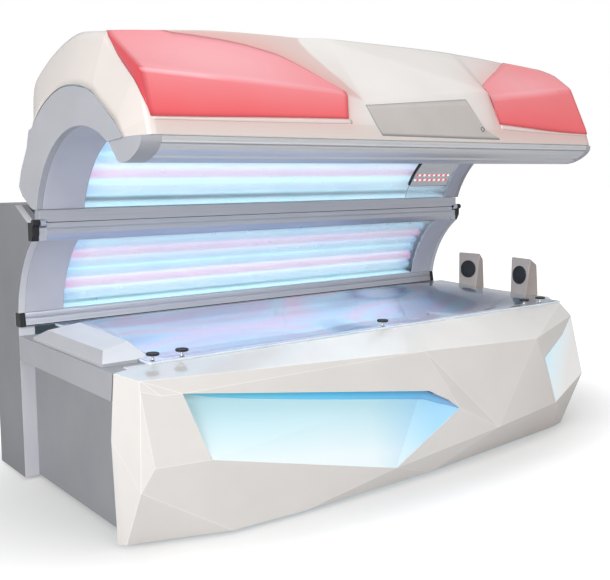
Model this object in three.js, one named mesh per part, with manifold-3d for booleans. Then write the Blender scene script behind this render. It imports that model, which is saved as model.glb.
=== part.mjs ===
// Clamshell tanning bed: a lamp bed under a hinged canopy, with a rear column that holds a side lamp wall.
// Millimetres. +X points to the head end, -Y to the user's side, +Z up. The canopy stands open.
import * as THREE from 'three';
import { mergeVertices } from 'three/addons/utils/BufferGeometryUtils.js';
import Module from 'manifold-3d';

const wasm = await Module();
wasm.setup();

// Overall sizes
const bedLength = 2380;
const bedDepth = 1200;
const headNose = 185; // the head end cover reaches this far past the column
const deckHeight = 560;
const columnHeight = 1042;
const columnDepth = 254;
const seat = 0.3; // clearance between pieces that rest on each other

const footX = -bedLength / 2;
const tipX = bedLength / 2;
const headX = tipX - headNose;
const frontY = -bedDepth / 2;
const rearY = bedDepth / 2;
const columnY = rearY - columnDepth;

// Hinge line between the two middle rails
const hingeDepth = 428; // from the rear face of the column
const hingeDrop = 57; // below the top of the column
const hingeHeight = columnHeight - hingeDrop;
const hingeY = rearY - hingeDepth;
const hingePinRadius = 6;
const hingeEyeRadius = 13;
const hingeEyeWidth = 20;
const openingAngle = 40; // degrees from open to closed

// Feet and base frame
const footPadRadius = 30;
const footPadHeight = 8;
const footStemRadius = 8;
const footHeight = 14;
const frameTube = 40;
const frameWall = 3;
const saddleThickness = 4;
const postWidth = 26;
const frameZ = footHeight + seat;

// Facetted front panel
const panelWall = new THREE.Vector3(4, 8, -6); // wall of the front panel, measured along each axis
const skirtZ = 14;
const ledgeDepth = 33; // flat ledge on the deck that carries the bed pane
const ledgeSetback = 228; // from the front plane to the back edge of the ledge
const ledgeY = frontY + ledgeSetback;
const recessDepth = 45; // the light panel leans this far back behind the overhang

// Foot end panel
const endPanelInset = 55;
const endPanelWall = 6;
const endBandHeight = 91;
const endBandWidth = 62;
const endFlangeWidth = 160;

// Bed pane, a shallow dish
const paneThickness = 8;
const paneFootInset = 140; // from the foot end plane
const paneHeadInset = 122; // from the tip
const paneRearRise = 22.6; // the rear edge of the pane lies higher than the deck
const paneRearZ = deckHeight + paneRearRise;
const paneDish = 85;
const paneFlange = 27;
const paneRun = 190; // length over which the dish runs out at each end
const headrestRise = 26;

// Lamps and reflectors
const lampRadius = 19;
const lampStandoff = 45; // lamp axis behind the face of its pane
const lampClearance = 4; // between a lamp and the reflector behind it
const reflectorStandoff = lampStandoff + lampRadius + lampClearance;
const reflectorWall = 1.2;
const lampWall = 1.5;
const lampSides = 8;
const arcSegments = 7; // half the flats of an arc
const holderLength = 35;
const bedLampCount = 9;
const sideLampCount = 7;
const sideLampFill = 0.414; // radius of a side lamp as a share of the pitch
const canopyLampCount = 11;

// Side lamp wall in the column
const endPlate = 25;
const curvedWall = 6;
const sideStripFoot = 150;
const sideStripHead = 130;
const sideSagitta = 32;
const railGap = 0.5; // between the upper rail and the rear rail of the canopy
const lowerRail = {
  bottom: deckHeight + 31.5,
  top: deckHeight + 83,
  front: columnY - 12,
  lean: 10,
  depth: 44,
};
const upperRail = {
  bottom: hingeHeight - 65,
  top: hingeHeight - railGap,
  chin: hingeHeight - 40,
  lean: 12,
  depth: 43,
};

// Column shell
const sheetWall = 2;
const rearPanelInset = 8;
const returnWall = 6; // front return of the column at the foot end
const topSlopeRun = 108.5;
const topSlopeDrop = 55.4;

// Canopy
const canopyFootInset = 18;
const canopyHeadInset = 0;
const canopyStripFoot = 157;
const canopyStripHead = 78;
const archSagitta = 149;
const hoodWall = 5;
const hoodBevel = 45; // length of the sloping rim at each end of the hood
const hoodCrown = 42; // the hood is this much higher in the middle than at its ends
const inlayGap = 0.6;
const railWall = 4;
const rearCoverWall = 3;

// Canopy struts
const leverReach = 100;
const leverRise = 30;
const leverThickness = 12;
const leverEnd = 13;
const leverPinRadius = 6;
const strutPivotDrop = 305;
const strutPivotInset = 60;
const strutRadius = 14;
const strutRodRadius = 5;
const strutLength = 300;
const strutEyeRadius = 17;
const strutEyeWidth = 16;

// Lock knobs, speakers, fan
const knobRadius = 22;
const knobHeight = 28;
const knobDisc = 8; // thickness of the head
const knobStemRadius = 5;
const knobBaseRadius = 9;
const knobBase = 3; // thickness of the foot flange
const knobSlot = [30, 3, 3]; // coin slot: length, width, depth
const knobXs = [footX + 157, footX + 264, footX + 0.4845 * bedLength, tipX - 367, tipX - 253];
const knobY = ledgeY - 16;
const speakerWidth = 130;
const speakerDepth = 96;
const speakerHeight = 186;
const speakerTurn = 7.5; // degrees, towards the user's head
const speakerX = tipX - 62;
const speakerPlaces = { front: frontY + 445, rear: columnY - 166 };
const grilleRadius = 44;
const fanRadius = 130;
const fanWall = 6;
const fanDepth = 60;
const fanBlades = 7;
const fanX = -95;
const fanZ = 300;

// Finishes, from the photograph
const finish = {
  white: { color: 0xf1eeeb, roughness: 0.35, metalness: 0 },
  grey: { color: 0xa9acb1, roughness: 0.5, metalness: 0 },
  palegrey: { color: 0xc9cad2, roughness: 0.45, metalness: 0 },
  red: { color: 0xe8707a, roughness: 0.25, metalness: 0 },
  bezel: { color: 0xd7d6d8, roughness: 0.35, metalness: 0 },
  glow: { color: 0xd6f3fb, roughness: 0.3, metalness: 0 },
  blue: { color: 0x2f9be0, roughness: 0.3, metalness: 0 },
  acrylic: { color: 0xe4f0fa, roughness: 0.08, metalness: 0 },
  lamp: { color: 0xbfe6fa, roughness: 0.3, metalness: 0 },
  mirror: { color: 0xdfe6ea, roughness: 0.15, metalness: 1 },
  aluminium: { color: 0xc4c6ca, roughness: 0.35, metalness: 1 },
  steel: { color: 0x8d9196, roughness: 0.5, metalness: 0.9 },
  black: { color: 0x1b1c1e, roughness: 0.5, metalness: 0 },
};

const group = new THREE.Group();

function add(name, geometry, look) {
  const mesh = new THREE.Mesh(geometry, new THREE.MeshStandardMaterial(finish[look]));
  mesh.name = name;
  group.add(mesh);
}

// Solids: booleans on closed meshes
function toSolid(geometry) {
  const bare = geometry.clone();
  bare.deleteAttribute('normal');
  bare.deleteAttribute('uv');
  const merged = mergeVertices(bare, 1e-4);
  const vertProperties = new Float32Array(merged.attributes.position.array);
  const triVerts = new Uint32Array(merged.index.array);
  return new wasm.Manifold(new wasm.Mesh({ numProp: 3, vertProperties, triVerts }));
}

function toGeometry(solid) {
  const mesh = solid.getMesh();
  const geometry = new THREE.BufferGeometry();
  geometry.setAttribute('position', new THREE.BufferAttribute(new Float32Array(mesh.vertProperties), 3));
  geometry.setIndex(new THREE.BufferAttribute(new Uint32Array(mesh.triVerts), 1));
  geometry.computeVertexNormals();
  return geometry;
}

function join(...pieces) {
  return toGeometry(pieces.map(toSolid).reduce((a, b) => a.add(b)));
}

function cut(piece, ...tools) {
  return toGeometry(tools.map(toSolid).reduce((a, b) => a.subtract(b), toSolid(piece)));
}

function common(piece, tool) {
  return toGeometry(toSolid(piece).intersect(toSolid(tool)));
}

// Basic forms
function block([x0, x1], [y0, y1], [z0, z1]) {
  const box = new THREE.BoxGeometry(x1 - x0, y1 - y0, z1 - z0);
  return box.translate((x0 + x1) / 2, (y0 + y1) / 2, (z0 + z1) / 2);
}

function outline(points) {
  return new THREE.Shape(points.map(([u, v]) => new THREE.Vector2(u, v)));
}

const extrudeOptions = (depth, curveSegments) => ({ depth, curveSegments, steps: 1, bevelEnabled: false });

// A profile drawn in Y and Z, carried along X
function alongX(shape, x0, x1, curveSegments = 12) {
  const geometry = new THREE.ExtrudeGeometry(shape, extrudeOptions(x1 - x0, curveSegments));
  const turn = new THREE.Matrix4().makeBasis(
    new THREE.Vector3(0, 1, 0),
    new THREE.Vector3(0, 0, 1),
    new THREE.Vector3(1, 0, 0),
  );
  return geometry.applyMatrix4(turn).translate(x0, 0, 0);
}

// A profile drawn in X and Z, carried along Y
function alongY(shape, y0, y1, curveSegments = 12) {
  const geometry = new THREE.ExtrudeGeometry(shape, extrudeOptions(y1 - y0, curveSegments));
  return geometry.rotateX(Math.PI / 2).translate(0, y1, 0);
}

// A round bar along X
function rod(x0, x1, y, z, radius, sides = 16) {
  const bar = new THREE.CylinderGeometry(radius, radius, x1 - x0, sides);
  return bar.rotateZ(Math.PI / 2).translate((x0 + x1) / 2, y, z);
}

// A turned piece, its axis on Z through the given point
function turned(profile, sides, x = 0, y = 0, z = 0) {
  const points = profile.map(([r, h]) => new THREE.Vector2(r, h));
  return new THREE.LatheGeometry(points, sides).rotateX(Math.PI / 2).translate(x, y, z);
}

// A closed body from corner points and faces, each face listed anticlockwise from outside
function polyhedron(corners, faces) {
  const position = [];
  for (const face of faces) {
    for (let i = 1; i < face.length - 1; i += 1) {
      position.push(...corners[face[0]], ...corners[face[i]], ...corners[face[i + 1]]);
    }
  }
  const geometry = new THREE.BufferGeometry();
  geometry.setAttribute('position', new THREE.Float32BufferAttribute(position, 3));
  geometry.computeVertexNormals();
  return mergeVertices(geometry.deleteAttribute('normal'), 1e-4);
}

// A wall made of flat facets: the outer skin, the same skin moved by the wall vector, and the edges between
function facetWall(corners, facets, wall) {
  const points = {};
  for (const [name, at] of Object.entries(corners)) {
    points[name] = at;
    points[`${name} inside`] = [at[0] + wall.x, at[1] + wall.y, at[2] + wall.z];
  }
  const edges = new Map();
  const faces = [];
  for (const facet of facets) {
    faces.push(facet);
    faces.push(facet.map((name) => `${name} inside`));
    facet.forEach((name, i) => {
      const next = facet[(i + 1) % facet.length];
      edges.set(`${name}>${next}`, [name, next]);
    });
  }
  const skin = polyhedronFaces(faces);
  for (const [a, b] of edges.values()) {
    if (!edges.has(`${b}>${a}`)) skin.push([b, a, `${a} inside`, `${b} inside`]);
  }
  return polyhedron(points, skin);
}

// The inner skin faces the other way, and both skins split along the same diagonals
function polyhedronFaces(faces) {
  const triangles = [];
  faces.forEach((face, index) => {
    for (let i = 1; i < face.length - 1; i += 1) {
      const triangle = [face[0], face[i], face[i + 1]];
      triangles.push(index % 2 ? triangle.reverse() : triangle);
    }
  });
  return triangles;
}

// A curved sheet between two grids of points, outer[i][j] and inner[i][j]
function gridWall(outer, inner) {
  const rows = outer.length;
  const columns = outer[0].length;
  const corners = [...outer.flat(), ...inner.flat()];
  const at = (i, j) => i * columns + j;
  const under = (i, j) => rows * columns + at(i, j);
  const faces = [];
  for (let i = 0; i < rows - 1; i += 1) {
    for (let j = 0; j < columns - 1; j += 1) {
      faces.push([at(i, j), at(i + 1, j), at(i + 1, j + 1)]);
      faces.push([at(i, j), at(i + 1, j + 1), at(i, j + 1)]);
      faces.push([under(i, j), under(i + 1, j + 1), under(i + 1, j)]);
      faces.push([under(i, j), under(i, j + 1), under(i + 1, j + 1)]);
    }
  }
  const end = columns - 1;
  for (let i = 0; i < rows - 1; i += 1) {
    faces.push([at(i + 1, 0), at(i, 0), under(i, 0), under(i + 1, 0)]);
    faces.push([at(i, end), at(i + 1, end), under(i + 1, end), under(i, end)]);
  }
  const last = rows - 1;
  for (let j = 0; j < columns - 1; j += 1) {
    faces.push([at(0, j), at(0, j + 1), under(0, j + 1), under(0, j)]);
    faces.push([at(last, j + 1), at(last, j), under(last, j), under(last, j + 1)]);
  }
  return polyhedron(corners, faces);
}

// An arc in Y and Z from start to end that bulges to the right of the way by the sagitta
function arcThrough(start, end, sagitta) {
  const along = [end[0] - start[0], end[1] - start[1]];
  const chord = Math.hypot(...along);
  const radius = (chord * chord / 4 + sagitta * sagitta) / (2 * sagitta);
  const left = [-along[1] / chord, along[0] / chord];
  const centre = [0, 1].map((k) => (start[k] + end[k]) / 2 + left[k] * (radius - sagitta));
  const angle = (point) => Math.atan2(point[1] - centre[1], point[0] - centre[0]);
  const from = angle(start);
  const to = angle(end) + (angle(end) < from ? 2 * Math.PI : 0);
  return { centre, radius, from, to };
}

function onArc(arc, angle, radius) {
  return [arc.centre[0] + radius * Math.cos(angle), arc.centre[1] + radius * Math.sin(angle)];
}

// A band that follows an arc between two standoffs, trimmed at both ends by a length along the arc
function arcBand(arc, inside, outside, x0, x1, trim = 0, segments = arcSegments) {
  const from = arc.from + trim / arc.radius;
  const to = arc.to - trim / arc.radius;
  const shape = new THREE.Shape();
  shape.absarc(...arc.centre, arc.radius + outside, from, to, false);
  shape.absarc(...arc.centre, arc.radius + inside, to, from, true);
  return alongX(shape, x0, x1, segments);
}

// How far the flats of a band cut inside its true arc
function flatDepth(arc, standoff) {
  return (arc.radius + standoff) * (1 - Math.cos((arc.to - arc.from) / (4 * arcSegments)));
}

// A bank of tubular lamps between two holders that stand on the flats of the reflector
function lampBank(arc, count, [x0, x1], standoff, reflector, trim, radius = lampRadius) {
  const from = arc.from + trim / arc.radius;
  const to = arc.to - trim / arc.radius;
  const holder = [standoff - radius, reflector - seat - flatDepth(arc, reflector)];
  const pieces = [
    arcBand(arc, ...holder, x0, x0 + holderLength, trim - radius),
    arcBand(arc, ...holder, x1 - holderLength, x1, trim - radius),
  ];
  const bores = [];
  for (let i = 0; i < count; i += 1) {
    const [y, z] = onArc(arc, from + (to - from) * i / (count - 1), arc.radius + standoff);
    pieces.push(rod(x0 + holderLength - 1, x1 - holderLength + 1, y, z, radius, lampSides));
    bores.push(rod(x0 - 1, x1 + 1, y, z, radius - lampWall, lampSides));
  }
  return cut(join(...pieces), ...bores);
}

// Front panel
// Corners of the facetted front, read from the creases: upper crease, recess, lower crease, skirt.
// Heights between the skirt and the deck are shares of the deck's height.
const rise = (share) => share * deckHeight;
const footEdge = {
  top: frontY + 170,
  middle: frontY + 200,
  bottom: frontY + 175,
  waistZ: rise(0.6125),
};
const front = {
  edgeTop: [footX, footEdge.top, deckHeight - 1],
  edgeWaist: [footX, footEdge.middle, footEdge.waistZ],
  edgeFoot: [footX, footEdge.bottom, skirtZ],
  deckNotch: [footX + endBandWidth, footEdge.top, deckHeight],
  ledgeFoot: [footX + endBandWidth, ledgeY, deckHeight],
  ledgeLip: [footX + endBandWidth, ledgeY - ledgeDepth, deckHeight],
  ledgeHead: [tipX - 128, ledgeY, deckHeight],
  lipHead: [tipX - 128, ledgeY - ledgeDepth, deckHeight],
  creaseFoot: [footX + 20, frontY + 40, deckHeight - 3],
  creaseMid: [tipX - 1171, frontY + 38, deckHeight - 66],
  creaseHead: [tipX - 500, frontY + 38, deckHeight - 99],
  bandFoot: [footX + 19, frontY + 37, rise(0.9393)],
  bandStep: [footX + 83, frontY + 28, rise(0.9036)],
  cheekFoot: [footX + 12, frontY + 34, rise(0.3875)],
  cheekMid: [footX + 54, frontY + 22, rise(0.5143)],
  recessTopFoot: [footX + 155, frontY + 24, rise(0.8964)],
  recessTopHead: [tipX - 1170, frontY + 10, rise(0.6179)],
  recessTurn: [tipX - 1063, frontY + 6, rise(0.525)],
  recessTip: [tipX - 1009, frontY + 2, rise(0.4536)],
  recessLow: [tipX - 1346, frontY, rise(0.1536)],
  recessLowFoot: [footX + 245, frontY + 8, rise(0.5)],
  keelMid: [tipX - 764, frontY + 8, rise(0.2339)],
  keelHead: [tipX - 347, frontY + 38, rise(0.2857)],
  skirtFoot: [footX + 18, footEdge.bottom - 25, skirtZ],
  skirtBend: [footX + 343, frontY + 40, skirtZ],
  skirtKeel: [footX + 624, frontY + 28, skirtZ],
  skirtMid: [footX + 1250, frontY + 38, skirtZ],
  skirtHead: [tipX - 260, frontY + 115, skirtZ],
  skirtTip: [tipX - 175, frontY + 132, skirtZ],
  noseTop: [tipX - 110, frontY + 145, rise(0.9054)],
  noseMid: [tipX - panelWall.x, frontY + 145, rise(0.3982)],
  windowTop: [tipX - 222, frontY + 108, rise(0.7804)],
  windowMid: [tipX - 427, frontY + 45, rise(0.6554)],
};

// The deck twists from level at the foot end to sloping at the head end, so its two borders, the lip of the
// ledge and the upper crease, are divided alike
const deckSteps = { toMid: 4, toHead: 3 };
const blend = (a, b, t) => a.map((value, k) => value + (b[k] - value) * t);
const creaseRun = [];
for (let i = 0; i < deckSteps.toMid; i += 1) {
  creaseRun.push(blend(front.creaseFoot, front.creaseMid, i / deckSteps.toMid));
}
for (let i = 0; i <= deckSteps.toHead; i += 1) {
  creaseRun.push(blend(front.creaseMid, front.creaseHead, i / deckSteps.toHead));
}
creaseRun.forEach((at, i) => {
  const t = (at[0] - front.creaseFoot[0]) / (front.creaseHead[0] - front.creaseFoot[0]);
  front[`crease${i}`] = at;
  front[`lip${i}`] = blend(front.ledgeLip, front.lipHead, t);
  front[`ledge${i}`] = blend(front.ledgeFoot, front.ledgeHead, t);
});
const deckEnd = creaseRun.length - 1;
const deckFacets = creaseRun.slice(1).flatMap((_, i) => [
  [`ledge${i}`, `lip${i}`, `lip${i + 1}`, `ledge${i + 1}`],
  [`lip${i}`, `crease${i}`, `crease${i + 1}`, `lip${i + 1}`],
  [`crease${i}`, i < deckSteps.toMid ? 'recessTopFoot' : 'keelMid', `crease${i + 1}`],
]);
const creaseTurn = `crease${deckSteps.toMid}`;
const frontFacets = [
  ...deckFacets,
  ['edgeTop', 'edgeWaist', 'edgeFoot', 'skirtFoot', 'cheekFoot', 'bandFoot', 'crease0'],
  ['edgeTop', 'crease0', 'deckNotch'],
  ['deckNotch', 'crease0', 'lip0'],
  [`lip${deckEnd}`, `crease${deckEnd}`, 'noseTop'],
  ['bandFoot', 'cheekFoot', 'cheekMid'],
  ['bandFoot', 'cheekMid', 'recessLowFoot', 'bandStep'],
  ['bandStep', 'recessLowFoot', 'recessTopFoot'],
  ['crease0', 'bandFoot', 'bandStep'],
  ['crease0', 'bandStep', 'recessTopFoot'],
  ['recessTopFoot', 'recessTopHead', creaseTurn],
  ['recessTopHead', 'recessTurn', creaseTurn],
  ['recessTurn', 'recessTip', creaseTurn],
  ['recessTip', 'keelMid', creaseTurn],
  ['recessTip', 'recessLow', 'keelMid'],
  ['keelMid', 'keelHead', `crease${deckEnd}`],
  ['cheekFoot', 'skirtFoot', 'skirtBend'],
  ['cheekFoot', 'skirtBend', 'cheekMid'],
  ['cheekMid', 'skirtBend', 'recessLowFoot'],
  ['recessLowFoot', 'skirtBend', 'skirtKeel'],
  ['recessLowFoot', 'skirtKeel', 'recessLow'],
  ['recessLow', 'skirtKeel', 'skirtMid'],
  ['recessLow', 'skirtMid', 'keelMid'],
  ['keelMid', 'skirtMid', 'skirtHead'],
  ['keelMid', 'skirtHead', 'keelHead'],
  ['keelHead', 'skirtHead', 'skirtTip'],
  ['keelHead', 'skirtTip', 'noseMid'],
  [`crease${deckEnd}`, 'keelHead', 'windowMid'],
  [`crease${deckEnd}`, 'windowMid', 'windowTop'],
  [`crease${deckEnd}`, 'windowTop', 'noseTop'],
];
add('front_panel', facetWall(front, frontFacets, panelWall), 'white');

// A facetted panel set into an opening: its corners move towards the middle of the opening by a margin
function insetCorners(names, margin) {
  const middle = [0, 1, 2].map((k) => names.reduce((sum, name) => sum + front[name][k], 0) / names.length);
  return Object.fromEntries(names.map((name) => {
    const away = new THREE.Vector3(...front[name]).sub(new THREE.Vector3(...middle));
    const shorter = away.clone().setLength(away.length() - margin);
    return [name, shorter.add(new THREE.Vector3(...middle)).toArray()];
  }));
}

const inset = 3 * inlayGap;
const recessNames = ['recessTopFoot', 'recessTopHead', 'recessTip', 'recessLow', 'recessLowFoot'];
const recess = insetCorners(recessNames, inset);
const leaning = (at) => [at[0], at[1] + recessDepth, at[2]];
const lightPanel = {
  ...recess,
  recessTopFoot: leaning(recess.recessTopFoot),
  recessTopHead: leaning(recess.recessTopHead),
};
const lightFacets = [
  ['recessLowFoot', 'recessLow', 'recessTopHead', 'recessTopFoot'],
  ['recessLow', 'recessTip', 'recessTopHead'],
];
add('front_light_panel', facetWall(lightPanel, lightFacets, panelWall), 'glow');

const windowNames = ['keelHead', 'noseMid', 'noseTop', 'windowTop', 'windowMid'];
const cornerLight = insetCorners(windowNames, inset);
const cornerFacets = [
  ['windowMid', 'keelHead', 'noseMid'],
  ['windowMid', 'noseMid', 'windowTop'],
  ['windowTop', 'noseMid', 'noseTop'],
];
add('head_corner_light', facetWall(cornerLight, cornerFacets, panelWall), 'glow');

// Blue strip that lies on the light panel, close under the overhang
const stripHeight = 20;
const stripDepth = 4;
const stripMargin = 14;
const facetNames = ['recessLowFoot', 'recessTopHead', 'recessTopFoot'];
const panelFacet = new THREE.Plane().setFromCoplanarPoints(
  ...facetNames.map((name) => new THREE.Vector3(...lightPanel[name])),
);

// Depth of the upper facet of the light panel at a place seen from the front
function facetY(x, z) {
  const { normal, constant } = panelFacet;
  return -(constant + normal.x * x + normal.z * z) / normal.y;
}

const stripCorners = {};
['recessTopFoot', 'recessTopHead'].forEach((name, i) => {
  const x = lightPanel[name][0] + (i ? -stripMargin : stripMargin);
  const z = lightPanel[name][2] - stripMargin;
  stripCorners[`top${i}`] = [x, facetY(x, z) - stripDepth - seat, z];
  stripCorners[`low${i}`] = [x, facetY(x, z - stripHeight) - stripDepth - seat, z - stripHeight];
});
const stripFacets = [['low0', 'low1', 'top1', 'top0']];
add('front_light_strip', facetWall(stripCorners, stripFacets, new THREE.Vector3(0, stripDepth, 0)), 'blue');

// Foot end panel: recessed plate with a raised band on top and a flange that carries the pane
const bandZ = deckHeight - 2 - endBandHeight;
const bandX = footX + endBandWidth - seat;
const plateX = footX + endPanelInset;
const bandFrontY = (z) => {
  const { top, middle, waistZ } = footEdge;
  const t = (z - waistZ) / (deckHeight - 1 - waistZ);
  return middle + (top - middle) * t + panelWall.y + seat;
};
const bandTop = deckHeight - 2;
const endPanelProfile = outline([
  [plateX, frameZ],
  [plateX + endPanelWall, frameZ],
  [plateX + endPanelWall, bandTop - endPanelWall],
  [bandX, bandTop - endPanelWall],
  [bandX, bandTop],
  [footX, bandTop],
  [footX, bandZ],
  [plateX, bandZ],
]);
const bandRearY = columnY - 1;
const bandNose = outline([
  [footEdge.top - 200, bandZ - 60],
  [bandFrontY(bandZ - 60), bandZ - 60],
  [bandFrontY(bandTop + 20), bandTop + 20],
  [footEdge.top - 200, bandTop + 20],
]);
const endPanelBody = cut(
  alongY(endPanelProfile, footEdge.top - 10, bandRearY),
  alongX(bandNose, footX - 10, plateX - 0.5),
  alongX(bandNose, plateX - 1, bandX + 10).translate(0, 0, endBandHeight),
);
const flangeFrontY = ledgeY + panelWall.y + seat;
const endFlange = block(
  [bandX - 5, footX + endFlangeWidth],
  [flangeFrontY, bandRearY],
  [bandTop - endPanelWall, bandTop],
);
add('foot_end_panel', join(endPanelBody, endFlange), 'grey');

// Raised moulding that covers the foot end of the pane
const paneFootX = footX + paneFootInset;
const paneHeadX = tipX - paneHeadInset;
const paneTopZ = deckHeight + seat + paneThickness;
const paneRearY = columnY - 1;
const dishFront = [ledgeY, deckHeight + seat];
const dishRear = [paneRearY - paneFlange, paneRearZ];
// Underside of the pane along its flat ends
const paneEdgeZ = (y) => (
  dishFront[1] + (dishRear[1] - dishFront[1]) * (y - dishFront[0]) / (dishRear[0] - dishFront[0])
);
const cap = {
  a: [footX + 10, ledgeY + 39, paneTopZ + seat],
  b: [footX + 176, ledgeY + 39, paneTopZ + seat],
  c: [footX + 176, columnY - 111, paneTopZ + seat],
  d: [footX + 10, columnY - 111, paneTopZ + seat],
  e: [footX + 40, ledgeY + 96, deckHeight + 40],
  f: [footX + 148, ledgeY + 136, deckHeight + 52],
  g: [footX + 172, columnY - 156, deckHeight + 52],
  h: [footX + 42, columnY - 170, deckHeight + 40],
};
// Faces of a body with a four-cornered foot a to d and top e to h
const capFaces = [
  ['a', 'd', 'c', 'b'],
  ['e', 'f', 'g', 'h'],
  ['a', 'b', 'f', 'e'],
  ['b', 'c', 'g', 'f'],
  ['c', 'd', 'h', 'g'],
  ['d', 'a', 'e', 'h'],
];
const capFoot = block([cap.a[0], paneFootX - 6], [cap.a[1], cap.c[1]], [bandTop + seat, paneTopZ + 1]);
const underCap = outline([
  [cap.a[1] - 20, deckHeight - 40],
  [cap.c[1] + 20, deckHeight - 40],
  [cap.c[1] + 20, paneEdgeZ(cap.c[1] + 20) + paneThickness + seat],
  [cap.a[1] - 20, paneEdgeZ(cap.a[1] - 20) + paneThickness + seat],
]);
const capRoom = alongX(underCap, paneFootX - 5, cap.b[0] + 5);
add('foot_end_cap', cut(join(polyhedron(cap, capFaces), capFoot), capRoom), 'grey');

// Head end cover with a flat deck for the speakers and the head end of the pane
const coverWall = new THREE.Vector3(-6, -2, -5);
const coverFit = panelWall.y + 2 * seat - coverWall.y;
const noseFit = panelWall.x + seat - coverWall.x;
const nose = {
  deckFront: [headX - 20, ledgeY + coverFit, deckHeight],
  deckCorner: [front.ledgeHead[0] + noseFit, ledgeY + coverFit, deckHeight],
  deckNose: [tipX - 8, frontY + 350, deckHeight],
  deckNoseRear: [tipX - 8, columnY - 86, deckHeight],
  deckRear: [tipX - 90, columnY - 1, deckHeight],
  deckRearIn: [headX - 20, columnY - 1, deckHeight],
  shoulder: [front.noseTop[0] + noseFit, front.noseTop[1] + coverFit, front.noseTop[2] - 2],
  waist: [tipX, front.noseMid[1] + coverFit, front.noseMid[2]],
  waistRear: [tipX, columnY - 1, front.noseMid[2]],
  skirt: [front.skirtTip[0] + noseFit, front.skirtTip[1] + coverFit, skirtZ],
  skirtRear: [front.skirtTip[0] + noseFit, columnY - 1, skirtZ],
  wallRear: [headX - 20, columnY - 1, skirtZ],
};
const noseFacets = [
  ['deckFront', 'deckCorner', 'deckNose', 'deckNoseRear', 'deckRear', 'deckRearIn'],
  ['deckCorner', 'shoulder', 'deckNose'],
  ['shoulder', 'waist', 'deckNose'],
  ['deckNose', 'waist', 'waistRear', 'deckNoseRear'],
  ['deckNoseRear', 'waistRear', 'deckRear'],
  ['waist', 'skirt', 'skirtRear', 'waistRear'],
  ['deckRearIn', 'deckRear', 'waistRear'],
  ['deckRearIn', 'waistRear', 'skirtRear', 'wallRear'],
];
add('head_end_cover', facetWall(nose, noseFacets, coverWall), 'white');

// Bed: pane, lamps, reflector
const dish = arcThrough(dishFront, dishRear, paneDish);

function smooth(t) {
  const u = Math.min(Math.max(t, 0), 1);
  return u * u * (3 - 2 * u);
}

// Height of the underside of the pane: a flat flange, the dish between, and a pillow for the head
function paneUnder(x, y) {
  if (y <= dishFront[0]) return dishFront[1];
  if (y >= dishRear[0]) return dishRear[1];
  const t = (y - dishFront[0]) / (dishRear[0] - dishFront[0]);
  const flat = dishFront[1] + (dishRear[1] - dishFront[1]) * t;
  const deep = dish.centre[1] - Math.sqrt((dish.radius) ** 2 - (y - dish.centre[0]) ** 2);
  const footRun = smooth((x - paneFootX - paneFlange) / paneRun);
  const headRun = smooth((paneHeadX - paneFlange - x) / (2 * paneRun));
  const pillow = smooth((x - paneHeadX + 2 * paneRun) / paneRun) * smooth((paneHeadX - x) / paneRun);
  return flat + (deep - flat) * footRun * headRun + headrestRise * pillow * Math.sin(Math.PI * t);
}

const paneRows = 13;
const paneStations = [0, paneFlange, 60, 110, 160, 217, 700, 1200, paneHeadX - paneFootX - 407];
for (let back = 340; back >= 0; back -= 68) paneStations.push(paneHeadX - paneFootX - back);
const paneTop = [];
const paneBottom = [];
for (const station of paneStations) {
  const x = paneFootX + station;
  const ys = [dishFront[0] - ledgeDepth + 5];
  for (let j = 0; j < paneRows; j += 1) {
    ys.push(dishFront[0] + (dishRear[0] - dishFront[0]) * j / (paneRows - 1));
  }
  ys.push(paneRearY);
  paneBottom.push(ys.map((y) => [x, y, paneUnder(x, y)]));
  paneTop.push(ys.map((y) => [x, y, paneUnder(x, y) + paneThickness]));
}
add('bed_pane', gridWall(paneTop, paneBottom), 'acrylic');

const reflectorMargin = 20;
const bedLampFoot = footX + 190;
const bedLampHead = headX - 45;
const bedStandoff = 15 + lampStandoff;
const bedReflectorStandoff = 15 + reflectorStandoff;
const bedLampX = [bedLampFoot, bedLampHead];
add('bed_lamps', lampBank(dish, bedLampCount, bedLampX, bedStandoff, bedReflectorStandoff, 72), 'lamp');
add(
  'bed_reflector',
  arcBand(
    dish,
    bedReflectorStandoff,
    bedReflectorStandoff + reflectorWall,
    bedLampFoot - reflectorMargin,
    bedLampHead + reflectorMargin,
    45,
  ),
  'mirror',
);

// Base frame: channels along and across, curved saddles under the reflector, rails under the pane's edges
const frameFrontY = ledgeY + panelWall.y - 2 - postWidth;
const frameRearY = columnY + 74;
const topTubeZ = deckHeight + panelWall.z - seat;
const rearTubeZ = paneRearZ - seat;
const rearTubeY = paneRearY - postWidth;
const columnInner = [footX + endPlate + seat, headX - endPlate - seat];
const frameFootX = plateX + endPanelWall + seat;
const frameHeadX = headX - 30;
const railFootX = footX + endFlangeWidth + seat;
const railHeadX = headX - 27;
const saddleArc = bedReflectorStandoff + reflectorWall + seat;
const saddleTrim = 40 / dish.radius;
const crossDrop = 5; // the cross channels and saddles sit inside the height of the long channels by this much
const saddle = new THREE.Shape();
const saddleEnds = [dish.to - saddleTrim, dish.from + saddleTrim];
const saddleTops = saddleEnds.map((angle) => onArc(dish, angle, dish.radius + saddleArc)[0]);
saddle.moveTo(frameFrontY + 5, frameZ + crossDrop);
saddle.lineTo(paneRearY - 7, frameZ + crossDrop);
saddle.lineTo(paneRearY - 7, rearTubeZ - frameWall / 2);
saddle.lineTo(saddleTops[0], rearTubeZ - frameWall / 2);
saddle.absarc(...dish.centre, dish.radius + saddleArc, ...saddleEnds, true);
saddle.lineTo(saddleTops[1], topTubeZ - frameWall / 2);
saddle.lineTo(frameFrontY + 5, topTubeZ - frameWall / 2);
const saddlePlaces = [bedLampFoot, (bedLampFoot + bedLampHead) / 2, bedLampHead];

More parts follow.
